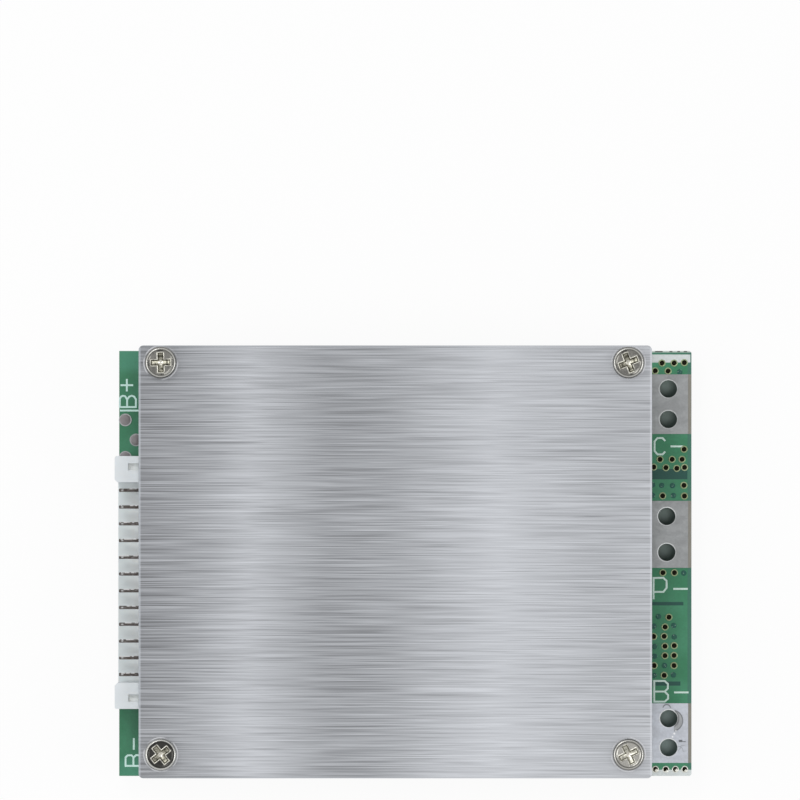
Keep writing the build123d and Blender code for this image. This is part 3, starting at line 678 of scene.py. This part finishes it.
def headerMoulding(material):
    # the model's own moulding with its doubles merged and flat sides joined: slots moved along Y, a slanting
    # cut of 45 degrees at the front corners of the mouth, and every edge rounded as a mould leaves it
    look = headerLook
    mesh = nodes["header_housing"].data.copy()
    mesh.name = "headerMoulding"
    points = np.empty(len(mesh.vertices) * 3)
    mesh.vertices.foreach_get("co", points)
    points = points.reshape(-1, 3) / mm
    fromMiddle, fromFloor = points[:, 1] - headerMiddle, points[:, 2] - look["slotFloorHeight"]
    x, y = look["slotMiddle"]
    halfX, halfY = look["slotHalf"]
    fromSlot = np.abs(np.abs(fromMiddle) - y)
    inSlot = (np.abs(points[:, 0] - x) < halfX) & (fromSlot < halfY) & (fromFloor > -0.01)
    inPocket = (fromSlot < look["pocketHalf"]) & (fromFloor < 0.01)
    points[:, 1] += np.sign(fromMiddle) * look["slotShift"] * (inSlot & ~inPocket)
    mesh.vertices.foreach_set("co", (points * mm).ravel())
    work = bmesh.new()
    work.from_mesh(mesh)
    bmesh.ops.remove_doubles(work, verts=work.verts, dist=1e-6)
    bmesh.ops.dissolve_limit(work, angle_limit=0.01, verts=work.verts, edges=work.edges)
    front = [edge for edge in work.edges if all(atMouthCorner(vertex) for vertex in edge.verts)]
    bmesh.ops.bevel(work, geom=front, offset=look["cornerCut"] * mm, segments=1, affect="EDGES")
    work.to_mesh(mesh)
    work.free()
    mesh.materials.clear()
    mesh.materials.append(material)
    piece = newObject("headerMoulding", mesh)
    rounding = piece.modifiers.new("rounding", "BEVEL")
    rounding.width = look["edgeRound"] * mm
    rounding.segments = 2
    rounding.limit_method = "ANGLE"
    rounding.angle_limit = math.radians(40)
    print("header corners cut:", len(front))
    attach(piece, "root")
    return piece


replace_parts(headerMoulding(nylon()), "header_housing")
dress(dullPin(), "header_pins")
print("header done")


# Plain metals of leads, caps, tabs, nuts and spacers: colour, grain and roughness
def plated(name, colour, grainSize, rough, warm=0.0, ripple=0.4):
    paint = Paint(name, Metallic=0.95)
    grain = paint.noise(grainSize, detail=3.0)
    cloudy = paint.noise(2.4, detail=2.0, shift=(7, 3, 5))
    tint = tuple(part * share for part, share in zip(colour, (0.80, 0.78, 0.74 - warm)))
    paint.colour = paint.mix(paint.rise(cloudy, 0.35, 0.7), colour, tint)
    paint.tone(0.88 + grain * 0.24)
    return paint.finish((grain, 0.25, 0.75, rough - 0.06, rough + 0.08), (grain, 0.02, ripple))


dress(plated("tinnedLead", (0.60, 0.60, 0.61), (0.5, 0.12, 0.12), 0.34),
      *nodesLike("_leadframe", "_leads", "_straps", "header_tabs"))
dress(plated("endCap", (0.64, 0.64, 0.64), 0.18, 0.38, ripple=0.8), *nodesLike("_caps"))
dress(plated("turnedSpacer", (0.64, 0.62, 0.56), (2.5, 2.5, 0.09), 0.26, warm=0.05), "spacers")


# Moulded, glazed and sintered bodies
def moulded(name, colour, speckle, rough, grainSize=0.14, coat=0.0, depth=0.02):
    paint = Paint(name, Coat_Roughness=0.2, Coat_Weight=coat)
    grain = paint.noise(grainSize, detail=2.0)
    specks = paint.fall(paint.cells(grainSize * 2.2), 0.0, 0.28)
    cloudy = paint.noise(3.0, detail=2.0, shift=(1, 8, 2))
    paint.colour = paint.shade(colour, 0.8 + cloudy * 0.4)
    paint.lay(specks * 0.55, speckle)
    return paint.finish((grain, 0.25, 0.75, rough - 0.07, rough + 0.07), (grain, depth, 0.6))


dress(moulded("blackEpoxy", (0.022, 0.022, 0.024), (0.050, 0.050, 0.052), 0.55),
      *nodesLike("_body", "chip_bodies", "transistor_bodies"))
dress(moulded("resistorGlaze", (0.018, 0.018, 0.020), (0.035, 0.035, 0.038), 0.25, coat=0.5),
      "gate_resistor_bodies", "filter_resistor_bodies", "balance_resistor_bodies")
dress(moulded("shuntCoat", (0.030, 0.040, 0.034), (0.060, 0.070, 0.062), 0.40, coat=0.2),
      "current_shunt_bodies")
dress(moulded("capacitorCeramic", (0.330, 0.215, 0.120), (0.420, 0.300, 0.190), 0.42),
      *nodesLike("capacitor_bodies"))
dress(moulded("siliconePad", (0.300, 0.345, 0.385), (0.390, 0.430, 0.460), 0.72, grainSize=0.3, depth=0.05),
      *nodesLike("_thermal_pad"))
print("small parts done")

# Screws: pan heads with a rounded rim round a sunk face, a cross recess with a raised burr, and a thread
screwLook = {
    "columns": 168,
    "faceRadius": 1.55,
    "faceHeight": 1.56,
    "headRadius": 2.375,
    "rim": [(1.64, 1.565), (1.72, 1.60), (1.80, 1.65), (1.90, 1.69), (2.00, 1.70), (2.10, 1.675),
            (2.19, 1.61), (2.27, 1.51), (2.33, 1.37), (2.365, 1.18), (2.375, 0.95), (2.375, 0.5),
            (2.375, 0.03), (2.30, 0.0), (1.2, 0.0), (0.0, 0.0)],  # radius and height
    "armWidth": 0.80,
    "armLength": 2.9,
    "recessDepth": 1.05,
    "recessWall": 0.13,  # how far in from the cross's edge its full depth is reached
    "burr": 0.06,
    "burrWidth": 0.07,
    "wobble": 0.012,
    "shankColumns": 48,
    "shankRows": 176,
    "shankRadius": 1.25,
    "threadDepth": 0.16,
    "threadPitch": 0.45,
    # painted light by distance from the axis: face, dark seam, highlight on the rim, shade on the shoulder
    "rings": [(0.0, (0.205, 0.200, 0.185)), (0.76, (0.190, 0.186, 0.172)), (0.81, (0.085, 0.083, 0.075)),
              (0.85, (0.28, 0.28, 0.26)), (0.885, (0.47, 0.465, 0.44)), (0.915, (0.30, 0.295, 0.28)),
              (0.95, (0.12, 0.12, 0.115)), (1.0, (0.13, 0.13, 0.125))],
    "burrColour": (0.60, 0.59, 0.52),
    "armColour": (0.320, 0.310, 0.255),
    "pocket": (0.065, 0.062, 0.046),
    "grime": (0.030, 0.029, 0.027),
    "oldRim": (0.62, 0.625, 0.60),
    "shine": (0.82, 0.80, 0.74),
    "side": (0.44, 0.43, 0.40),
}


def crossDistance(u, v):
    # how far a point lies outside the cross of two rectangles; negative inside
    halfWidth, halfLength = screwLook["armWidth"] / 2, screwLook["armLength"] / 2
    along = np.maximum(np.abs(u) - halfLength, np.abs(v) - halfWidth)
    upright = np.maximum(np.abs(u) - halfWidth, np.abs(v) - halfLength)
    return np.minimum(along, upright)


def threadGroove(height, angle, depth):
    # a V that is cut once per turn along a helix
    turn = np.mod(height / screwLook["threadPitch"] - angle / (2 * np.pi), 1)
    return depth * np.clip(1 - np.abs(turn - 0.5) * 2.6, 0, 1)


def screwHeads(material):
    # a profile of radius and height turned round the axis; inside the cross the height sinks with the
    # distance from its edge, down to a cone, and just outside the edge it rises in a soft burr
    look = screwLook
    face = np.linspace(0.0, look["faceRadius"], 44)
    rimRadii, rimHeights = np.array(look["rim"]).T
    radius = np.concatenate([face, rimRadii])
    height = np.concatenate([np.full(face.size, look["faceHeight"]), rimHeights])
    r, a = np.meshgrid(radius, circle(look["columns"]), indexing="ij")
    u, v = r * np.cos(a), r * np.sin(a)
    away = crossDistance(u, v)
    top = (np.arange(radius.size) < face.size + 4)[:, None]
    floorDepth = look["recessDepth"] * (1 - 0.72 * np.clip(r / (look["armLength"] / 2), 0, 1))
    sunk = floorDepth * np.clip(-away / look["recessWall"], 0, 1) ** 0.7
    burr = look["burr"] * np.exp(-((away - look["burrWidth"]) / look["burrWidth"]) ** 2)
    z = height[:, None] + np.where(top, burr - sunk, 0)
    wobble = look["wobble"] * np.sin(3 * a) * np.clip((r - 1.7) / 0.4, 0, 1) * (z > 0.3)
    farOff = 9.0  # what the attributes say where their patterns don't reach
    points = [aroundAxes(r, a + math.radians(turn), plateTop + z - abs(wobble), [place])[0]
              for place, turn in zip(layout["screws"], layout["screwTurns"])]
    count = len(points)
    attributes = {"fromAxis": np.tile(np.where(z > 0.02, r, farOff).ravel(), count),
                  "fromCross": np.tile(np.where(top, away, farOff).ravel(), count),
                  "fromArm": np.tile(np.where(top, np.minimum(np.abs(u), np.abs(v)), farOff).ravel(), count),
                  "screwNumber": np.arange(count).repeat(r.size)}
    faces = manyFaces(gridFaces(*r.shape), r.size, count)
    return makePiece("screwHeads", np.array(points), faces, material, "nickel_steel", attributes=attributes)


def screwShanks(material):
    # a cylinder whose radius drops by the thread's groove, with a cone at the lower end
    look = screwLook
    rows = np.linspace(0.0, plateTop - 0.1, look["shankRows"])
    height = np.concatenate([[0.0, 0.0, 0.0], rows, [plateTop + 0.02] * 2])
    scale = np.concatenate([[0.0, 0.5, 0.80], np.ones(rows.size), [0.8, 0.0]])
    h, a = np.meshgrid(height, circle(look["shankColumns"]), indexing="ij")
    threaded = np.clip(h / 0.3, 0, 1)
    inward = threadGroove(h, a, look["threadDepth"]) * threaded + 0.22 * (1 - threaded)
    r = (look["shankRadius"] - inward) * scale[:, None]
    return makePiece("screwShanks", *aroundAxes(r, a, h, layout["screws"]), material, "nickel_steel")


def nickelHead():
    # painted light in rings from the axis outward: shaded face, thin dark seam, a painted highlight on the
    # rim, painted shade on the shoulder; the burr round the cross has a painted highlight, its arms are olive
    # with dark corners, and its middle has a painted highlight. The third screw's face is darker, with a
    # painted highlight on its rim, and the fourth screw's face is lighter
    look = screwLook
    paint = Paint("nickelHead", Metallic=0.9)
    radius, cross, arm, number = [paint.attribute(name)
                                  for name in ("fromAxis", "fromCross", "fromArm", "screwNumber")]
    grain = paint.noise(0.22, detail=3.0)
    blot = paint.noise(0.75, detail=2.0, shift=(3, 3, 3))
    chips = paint.rise(paint.noise(0.45, detail=1.0, shift=(7, 2, 1)), 0.38, 0.52, 0.25, 1.0)
    thirdScrew = paint.between(number, 1.9, 2.1, 0.05)
    fourthScrew = paint.rise(number, 2.8, 2.9)
    rings = paint.ramp(radius / look["headRadius"], look["rings"])
    sunkFace = paint.fall(radius - thirdScrew * 0.26, 1.72, 1.86) * paint.rise(cross, 0.13, 0.20)
    paint.colour = paint.shade(rings, 1 - sunkFace * thirdScrew * 0.78 + sunkFace * fourthScrew * 0.9)
    paint.lay(paint.between(radius, 2.10, 2.32, 0.06) * thirdScrew * 0.60, look["oldRim"])

    # grime in blots on the face, and short dark bars in the seam where the arms point
    grime = paint.rise(blot, 0.52, 0.60) * sunkFace * (1 - fourthScrew) * (0.25 + thirdScrew * 0.5)
    bars = paint.between(radius, 1.70, 1.90, 0.04) * paint.fall(arm, 0.36, 0.52)
    bars = bars * paint.rise(blot, 0.36, 0.46) * (1 - fourthScrew * 0.7)
    paint.lay(grime | bars * 0.85, look["grime"])

    # the burr and the cross
    paint.lay(paint.between(cross, -0.02, 0.13, 0.03) * chips, look["burrColour"])
    spread = paint.rise(paint.noise(0.5, detail=1.0, shift=(1, 6, 3)), 0.40, 0.52)
    pocket = paint.between(radius, 0.75, 1.15, 0.12) * spread * (0.9 - fourthScrew * 0.5)
    olive = paint.mix(fourthScrew * 0.6, look["armColour"], look["burrColour"])
    paint.lay(paint.fall(cross, -0.10, -0.04), paint.mix(pocket, olive, look["pocket"]))
    paint.lay(paint.fall(radius + blot * 0.3, 0.38, 0.62) * 0.9, look["shine"])
    side = paint.rise(radius, 2.31, 2.35) * paint.fall(paint.z, plateTop + 1.1, plateTop + 1.3)
    paint.lay(side, look["side"])
    paint.tone(0.82 + grain * 0.36)
    return paint.finish((grain, 0.25, 0.75, 0.22, 0.38), (grain + blot * 0.5, 0.02, 0.5))


heads = screwHeads(nickelHead())
shanks = screwShanks(plated("nickelThread", (0.60, 0.585, 0.54), 0.3, 0.3))
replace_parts(heads, "plate_screws")
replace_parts(shanks, "plate_screws")
print("screws done")

# Nuts: hexagons with both faces turned to a cone at the corners, and a threaded bore
nutLook = {
    "columns": 120,
    "boreRows": 34,
    "halfWidth": 2.45,
    "height": 2.0,
    "flat": 0.985,  # radius of the flat faces, as a share of half the width
    "coneSlope": 0.55,
    "bore": 1.27,
    "chamfer": 0.15,
    "threadDepth": 0.1,
}


def hexNuts(material):
    # one closed loop of profile points for each angle: up the six-sided side, in over the top face, down
    # the bore with its helical groove and out under the lower face; the side ends at the cones
    look = nutLook
    angle = circle(look["columns"])
    level = np.ones(angle.size)
    flat, mouth, top = [level * radius for radius in
                        (look["halfWidth"] * look["flat"], look["bore"] + look["chamfer"], look["height"])]
    side = look["halfWidth"] / np.cos(np.mod(angle, np.pi / 3) - np.pi / 6)
    cone = np.clip((side - flat) * look["coneSlope"], 0.01, 0.5)
    rings = [(flat, level * 0), (side, cone), (side, top - cone), (flat, top), (mouth, top)]
    for height in np.linspace(look["height"], 0.0, look["boreRows"]):
        cut = 0.1 < height < look["height"] - 0.1
        rings.append((look["bore"] + threadGroove(height, angle, look["threadDepth"]) * cut, level * height))
    rings += [(mouth, level * 0), rings[0]]
    r, h = np.array(rings).swapaxes(0, 1)
    return makePiece("threadedNuts", *aroundAxes(r, angle, h, layout["screws"]), material, "nickel_steel",
                     smooth=False)


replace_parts(hexNuts(plated("nickelNut", (0.62, 0.61, 0.57), (0.9, 0.9, 0.15), 0.3)), "hex_nuts")
print("nuts done")

# Marks in white print beside the terminals, and beside the header: strokes of one pen
markLook = {
    "width": 0.28,
    "thickness": 0.02,
    "inkLeft": (0.650, 0.900, 0.840),
    "inkRight": (0.800, 1.000, 0.920),
    "strokes": [  # points in mm, and whether the stroke is a loop
        ([(-42.25, 26.33), (-40.37, 26.33)], False),
        ([(-41.31, 25.39), (-41.31, 27.27)], False),
        ([(-39.97, 23.06), (-39.95, 24.20), (-40.22, 24.62), (-40.58, 24.76), (-40.95, 24.62),
          (-41.27, 24.20), (-41.55, 24.66), (-41.88, 24.76), (-42.18, 24.62), (-42.36, 24.32),
          (-42.36, 23.06)], True),
        ([(-41.27, 23.06), (-41.27, 24.10)], False),
        ([(-42.35, 22.54), (-39.5, 22.54)], False),
        ([(-40.27, -28.14), (-40.27, -26.40)], False),
        ([(-39.25, -30.55), (-39.25, -29.30), (-39.55, -28.95), (-39.95, -28.95), (-40.30, -29.30),
          (-40.60, -28.97), (-41.20, -28.97), (-41.50, -29.30), (-41.50, -30.55)], True),
        ([(-40.33, -30.55), (-40.33, -29.35)], False),
        ([(39.13, 17.98), (38.74, 18.43), (37.97, 18.43), (37.53, 17.93), (37.53, 16.50), (37.97, 16.00),
          (38.74, 16.00), (39.13, 16.42)], False),
        ([(39.92, 17.19), (41.78, 17.19)], False),
        ([(37.38, -5.66), (37.38, -2.47), (38.85, -2.45), (39.33, -2.90), (39.33, -3.95), (38.85, -4.55),
          (37.38, -4.55)], False),
        ([(40.33, -4.1), (42.5, -4.1)], False),
        ([(37.48, -17.86), (39.05, -17.86), (39.52, -18.30), (39.52, -18.98), (39.05, -19.44),
          (39.55, -19.95), (39.55, -20.50), (39.05, -20.95), (37.48, -20.95)], True),
        ([(37.48, -19.44), (39.05, -19.44)], False),
        ([(40.45, -19.57), (42.62, -19.57)], False),
    ],
}


def printedMarks(material):
    # each stroke is a strip with a low rounded section, mitred at its corners: the section's points
    # lie across the line that halves the angle between two neighbouring runs
    section = np.array([(-0.5, 0.0), (-0.46, 0.8), (0.0, 1.0), (0.46, 0.8), (0.5, 0.0)])
    columns = len(section)
    heights = boardTop + section[:, 1] * markLook["thickness"]
    allPoints, allFaces, start = [], [], 0
    for line, loop in markLook["strokes"]:
        path = np.array(line)
        before = path - np.roll(path, 1, axis=0)
        after = np.roll(path, -1, axis=0) - path
        if not loop:
            before[0], after[-1] = after[0], before[-1]
        before /= np.linalg.norm(before, axis=1)[:, None]
        after /= np.linalg.norm(after, axis=1)[:, None]
        along = before + after
        along /= np.linalg.norm(along, axis=1)[:, None]
        reach = 1 / np.clip((along * after).sum(1), 0.5, 1)
        across = np.stack([-along[:, 1], along[:, 0]], -1) * reach[:, None] * markLook["width"]
        flat = path[:, None, :] + across[:, None, :] * section[None, :, :1]
        points = np.concatenate([flat, np.broadcast_to(heights, flat.shape[:2])[..., None]], -1)
        if loop:
            points = np.concatenate([points, points[:1]])
        else:  # both ends close on their middle
            middle = points[[0, -1]].mean(1, keepdims=True).repeat(columns, 1)
            points = np.concatenate([middle[:1], points, middle[1:]])
        allPoints.append(points.reshape(-1, 3))
        allFaces.append(gridFaces(len(points), columns) + start)
        start += len(points) * columns
    points, faces = np.concatenate(allPoints), np.concatenate(allFaces)
    return makePiece("terminalMarks", points, faces, material, "laminate", smooth=False)


def printInk():
    paint = Paint("printInk")
    grain = paint.noise(0.12, detail=2.0)
    thin = paint.noise(0.8, detail=2.0, shift=(5, 2, 0))
    # the ink lighter towards the terminals: partly the print's own tint, partly painted light against the
    # plate's shade
    paint.colour = paint.mix(paint.rise(paint.x, -20.0, 20.0), markLook["inkLeft"], markLook["inkRight"])
    paint.tone(paint.rise(thin, 0.3, 0.75, 1.0, 0.93))
    paint.tone(0.86 + grain * 0.28)
    return paint.finish((grain, 0.3, 0.7, 0.5, 0.62), (grain, 0.01, 0.5))


printedMarks(printInk())
print("marks done")

# Vias at the terminals: plated rims round bores that are flat discs painted dark as the bores' shade, and
# others closed by the solder mask
viaLook = {
    "rim": (0.36, 0.545, 0.035),  # inner and outer radius, and rise
    "edgeRim": (0.36, 0.52, 0.05),
    "bore": (0.39, 0.012),  # radius and rise
    "mask": (0.42, 0.02),
    "dab": (0.25, 0.14),
    "wireDome": (0.80, 0.045),
    "open": [(38.64, 29.64), (40.45, 29.64), (41.97, 29.7), (37.62, 28.47), (39.54, 28.44), (41.93, 16.77),
             (38.33, 15.25), (40.14, 15.25), (41.63, 15.25), (37.38, 14.1), (39.21, 14.01), (40.84, 13.91),
             (42.0, 14.05), (41.91, 11.37), (38.72, 9.8), (41.98, 9.77), (38.76, -1.68), (40.49, -1.68),
             (39.67, -8.33), (39.08, -9.79), (38.94, -11.19), (37.38, -11.22), (39.06, -12.67),
             (40.45, -12.58), (39.06, -14.08), (40.43, -14.05), (37.44, -15.56), (40.42, -15.56),
             (38.94, -17.02)],
    "closed": [(41.3, 28.3), (38.61, 11.37), (40.21, 11.34), (40.36, 9.85), (41.9, -1.74), (38.12, -8.24),
               (37.42, -9.66), (40.4, -9.58), (40.48, -11.27), (37.53, -12.7), (37.53, -14.16),
               (39.02, -15.55), (37.47, -17.04), (40.36, -16.96), (37.23, 11.44), (37.23, 9.88)],
    "edge": [(37.66, -31.05), (39.2, -31.05), (40.64, -31.05), (42.04, -31.05)],
    "dabShifts": [(0.14, -0.16), (0.14, -0.30), (0.14, -0.12), (0.14, -0.24)],  # solder beside each edge via
    "wireDomes": [(-41.55, 21.15), (-39.95, 18.16), (-41.55, 15.55)],
    "ringColour": (0.300, 0.365, 0.215),
    "boreColours": [(0.005, 0.004, 0.001), (0.012, 0.011, 0.004)],
    "tented": [(0.012, 0.105, 0.082), (0.022, 0.125, 0.085)],
    "tentedSpeck": (0.25, 0.38, 0.33),
    "edgeColour": (0.70, 0.71, 0.66),
    "wireColour": (0.235, 0.222, 0.232),
}


def viaRims(name, places, inner, outer, height, level, up, material, slot):
    # the rim's section is a low arch from the bore's wall to the laminate, closed under itself
    arch = np.linspace(0, np.pi, 7)
    middle, half = (inner + outer) / 2, (outer - inner) / 2
    profile = np.stack([middle - half * np.cos(arch), level + up * height * np.sin(arch)], -1)
    return makePiece(name, *turned(np.concatenate([profile, profile[:1]]), places, 24), material, slot)


def domes(name, places, radius, height, level, up, material, slot):
    # each dome's height falls with the square of the way out, and its underside is flat
    way = np.array([0, 0.3, 0.55, 0.75, 0.9, 1.0, 0.0])
    lift = np.array([1, 0.91, 0.70, 0.44, 0.19, 0.0, 0.0])
    profile = np.stack([way * radius, level + up * lift * height], -1)
    return makePiece(name, *turned(profile, places, 24), material, slot)


# painted shade: a flat dark disc stands for the shade down each via's bore
def darkBore():
    paint = Paint("darkBore", Specular_IOR_Level=0.1)
    depth = paint.noise(0.5, detail=1.0)
    return paint.set(Base_Color=paint.mix(depth, *viaLook["boreColours"]),
                     Roughness=paint.rise(depth, 0.2, 0.8, 0.6, 0.85))


def tentedMask():
    paint = Paint("tentedMask", Coat_Weight=0.15, Coat_Roughness=0.1, Specular_IOR_Level=0.3)
    specks = paint.rise(paint.noise(0.3, detail=1.0, shift=(6, 6, 2)), 0.62, 0.70)
    cloudy = paint.noise(0.6, detail=2.0)
    paint.colour = paint.mix(paint.rise(cloudy, 0.3, 0.7), *viaLook["tented"])
    # painted highlights: pale specks on the closed vias
    paint.lay(specks, viaLook["tentedSpeck"])
    return paint.finish((cloudy, 0.3, 0.7, 0.30, 0.42), (cloudy, 0.03, 0.5))


def boardVias():
    # at both faces, the half soldered vias in the tinned band, and the solder on the wire pads
    look = viaLook
    above, below = (boardTop, 1), (boardBottom, -1)
    ringMetal, boreShadeMaterial, mask = plated("viaRim", look["ringColour"], 0.2, 0.4), darkBore(), tentedMask()
    edgeMetal = plated("edgeSolder", look["edgeColour"], 0.5, 0.3)
    viaRims("viaRims", look["open"], *look["rim"], *above, ringMetal, "laminate")
    viaRims("viaRimsBelow", look["open"], *look["rim"], *below, ringMetal, "laminate")
    viaRims("edgeRims", look["edge"], *look["edgeRim"], *above, edgeMetal, "tinned_copper")
    domes("viaBores", look["open"] + look["edge"], *look["bore"], *above, boreShadeMaterial, "laminate")
    domes("viaBoresBelow", look["open"], *look["bore"], *below, boreShadeMaterial, "laminate")
    domes("closedVias", look["closed"], *look["mask"], *above, mask, "laminate")
    domes("closedViasBelow", look["closed"], *look["mask"], *below, mask, "laminate")
    dabs = [(x + right, y + up) for (x, y), (right, up) in zip(look["edge"], look["dabShifts"])]
    domes("edgeVias", dabs, *look["dab"], *above, edgeMetal, "tinned_copper")
    domeMetal = plated("domeTin", look["wireColour"], 0.4, 0.4, ripple=0.7)
    padTop = boxInMm("wire_pads")[1][2] - 0.002
    domes("wireSolder", look["wireDomes"], *look["wireDome"], padTop, 1, domeMetal, "tinned_copper")


boardVias()
print("vias done")

# Solder on every pad: a low pillow round each foot, above and below the board
solderLook = {"height": 0.11, "square": 0.35, "colour": (0.58, 0.585, 0.59)}


def padList(xs, ys, width, length, offsets):
    # one row for each offset at each place: middle x and y, width along X and length along Y
    x, y = np.broadcast_arrays(np.asarray(xs, float), np.asarray(ys, float))
    rows = [np.stack([x.ravel() + dx, y.ravel() + dy, np.full(x.size, width), np.full(x.size, length)], -1)
            for dx, dy in offsets]
    return np.concatenate(rows)


def bothSides(dx, dys):
    return [(side * dx, dy) for side in (-1, 1) for dy in dys]


def upperPads():
    return np.concatenate([
        padList(*dischargeRow, 9.2, 8.4, [(0, 1.75)]),
        padList(*chargeRow, 9.2, 8.4, [(0, -1.75)]),
        padList(*dischargeRow, 1.3, 2.4, [(-2.54, -7.6), (2.54, -7.6)]),
        padList(*chargeRow, 1.3, 2.4, [(-2.54, 7.6), (2.54, 7.6)]),
        padList(*dischargeRow, 1.2, 0.75, [(-2.54, -10.9), (-2.54, -9.6)]),
        padList(*chargeRow, 1.2, 0.75, [(2.54, 9.6), (2.54, 10.9)]),
        padList([29.0, 24.8, 20.6, 16.4], -24.4, 3.5, 1.7, [(0, -2.7), (0, 2.7)]),
        padList([5.6, 9.0, 12.4, 15.8], 21.55, 2.0, 1.1, [(0, -1.4), (0, 1.4)]),
        padList(-18.25, 8.2, 1.3, 0.75, bothSides(2.8, [-1.905, -0.635, 0.635, 1.905])),
        padList(35.075, -7.8, 2.0, 1.5, [(0, -1.95), (0, 1.95)]),
        padList(-31.7, pinRow, 2.6, 1.0, [(0, 0)]),
        padList(-37.85, [-22.45, 16.25], 2.9, 1.6, [(0, 0)]),
    ])


def lowerPads():
    chipX, chipRows = layout["chips"]
    return np.concatenate([
        padList(-29.95, channelRow, 0.75, 1.0, [(-0.7, 0), (0.7, 0)]),
        padList(-27.15, channelRow, 1.0, 0.75, [(0, -0.7), (0, 0.7)]),
        padList(-23.75, channelRow, 0.9, 0.6, bothSides(1.25, [-0.95, 0, 0.95])),
        padList(-19.55, channelRow, 0.9, 0.6, [(-1.05, -0.95), (-1.05, 0.95), (1.05, 0)]),
        padList(-15.15, channelRow, 0.9, 1.7, bothSides(1.45, [-1.05, 1.05])),
        padList(chipX, chipRows, 1.3, 0.75, bothSides(2.8, [lead * 1.27 for lead in range(-3, 4)])),
    ])


def solderPillows(name, pads, level, up, material):
    # a rounded rectangle given by a superellipse; the height is full in the middle and falls with the
    # cube of the way out; the last ring closes the flat side that lies on the board
    way = np.array([0.0, 0.55, 0.86, 1.0, 0.0])
    lift = solderLook["height"] * np.array([1.0, 0.83, 0.36, 0.0, 0.0])
    angle = circle(12) + np.pi / 12
    across, along = [np.sign(turn) * np.abs(turn) ** solderLook["square"]
                     for turn in (np.cos(angle), np.sin(angle))]
    middleX, middleY, width, length = pads.T[:, :, None, None]
    x = middleX + width / 2 * way[None, :, None] * across
    y = middleY + length / 2 * way[None, :, None] * along
    z = np.broadcast_to(level + up * lift[None, :, None], x.shape)
    faces = manyFaces(gridFaces(way.size, angle.size), way.size * angle.size, len(pads))
    return makePiece(name, np.stack([x, y, z], -1), faces, material, "tinned_copper")


solder = plated("solder", solderLook["colour"], 0.6, 0.3, ripple=0.7)
solderPillows("upperSolder", upperPads(), boardTop, 1, solder)
solderPillows("lowerSolder", lowerPads(), boardBottom, -1, solder)
print("solder done")

# Floor, light and camera
stageLook = {
    "floorSize": 6.0,
    "floorColours": [(0.86, 0.86, 0.86), (0.85, 0.85, 0.85)],
    "floorGlow": 0.93,
    "white": (1.0, 1.0, 1.0),
    "skyLight": 0.50,
    "underBoard": (0.090, 0.125, 0.115),
    "underHole": (0.80, 0.95, 0.90),
    "holeLight": (-0.65, 0.60),  # where the painted pool of light below a hole lies, from the hole
    "shadeEdge": 1.9,  # how far in from the board's edges the floor below it is in full shade
}


def stageFloor():
    look = stageLook
    size = look["floorSize"] / 2
    mesh = bpy.data.meshes.new("floor")
    corners = [(-size, -size, 0), (size, -size, 0), (size, size, 0), (-size, size, 0)]
    mesh.from_pydata(corners, [], [(0, 1, 2, 3)])
    floor = newObject("floor", mesh)
    paint = Paint("floor", Roughness=0.9)
    soft = look["shadeEdge"] / 2
    left, low, right, high = boardLow[0] + soft, boardLow[1] + soft, boardHigh[0] - soft, boardHigh[1] - soft
    # painted shadow under the board, which also doesn't glow there, and a painted pool of light below each
    # hole
    shaded = paint.patch(left, right, low, high, soft)
    shiftX, shiftY = look["holeLight"]
    below = paint.either([paint.fall(paint.away(x + shiftX, y + shiftY), 0.1, 2.0)
                          for x, y in layout["terminalHoles"]])
    paint.colour = paint.mix(paint.noise(40.0, detail=1.0), *look["floorColours"])
    paint.lay(shaded, paint.mix(below, look["underBoard"], look["underHole"]))
    paint.set(Base_Color=paint.colour)
    glow = paint.node("ShaderNodeEmission", values={"Color": look["white"], "Strength": 1.0})
    share = paint.raySeen() * (1 - shaded) * look["floorGlow"]
    paint.show(paint.node("ShaderNodeMixShader", values={0: share, 1: paint.shader, 2: glow}))
    mesh.materials.append(paint.material)


def skyWorld():
    world = bpy.data.worlds.new("sky")
    bpy.context.scene.world = world
    sky = Tree(world, "ShaderNodeOutputWorld")
    dim, bright = [sky.node("ShaderNodeBackground", values={"Color": stageLook["white"], "Strength": light})
                   for light in (stageLook["skyLight"], 1.0)]
    sky.show(sky.node("ShaderNodeMixShader", values={0: sky.raySeen(), 1: dim, 2: bright}))


lampLook = {  # place in metres, size in metres, watts
    "key": ((-0.30, 0.45, 0.60), 0.35, 1.5),
    "left": ((-0.55, -0.05, 0.45), 0.40, 1.2),
    "right": ((0.55, -0.10, 0.45), 0.40, 1.2),
}


def softLamps():
    for name, (place, size, power) in lampLook.items():
        lamp = bpy.data.lights.new(name, "AREA")
        lamp.shape = "DISK"
        lamp.size = size
        lamp.energy = power
        holder = newObject(name, lamp)
        holder.location = place
        x, y, z = place
        holder.rotation_euler = (math.atan2(math.hypot(x, y), z), 0, math.atan2(x, -y))
        holder.visible_camera = False


cameraLook = {"x": -0.50, "y": 24.12, "height": 3000.0, "widthSeen": 119.2, "sensor": 36.0}


def topCamera():
    look = cameraLook
    camera = bpy.data.cameras.new("camera")
    camera.sensor_width = look["sensor"]
    camera.lens = look["sensor"] * look["height"] / look["widthSeen"]
    holder = newObject("camera", camera)
    holder.location = (look["x"] * mm, look["y"] * mm, (look["height"] + plateTop) * mm)
    bpy.context.scene.camera = holder


stageFloor()
skyWorld()
softLamps()
topCamera()
bpy.context.scene.view_settings.view_transform = "Standard"
print("stage done")
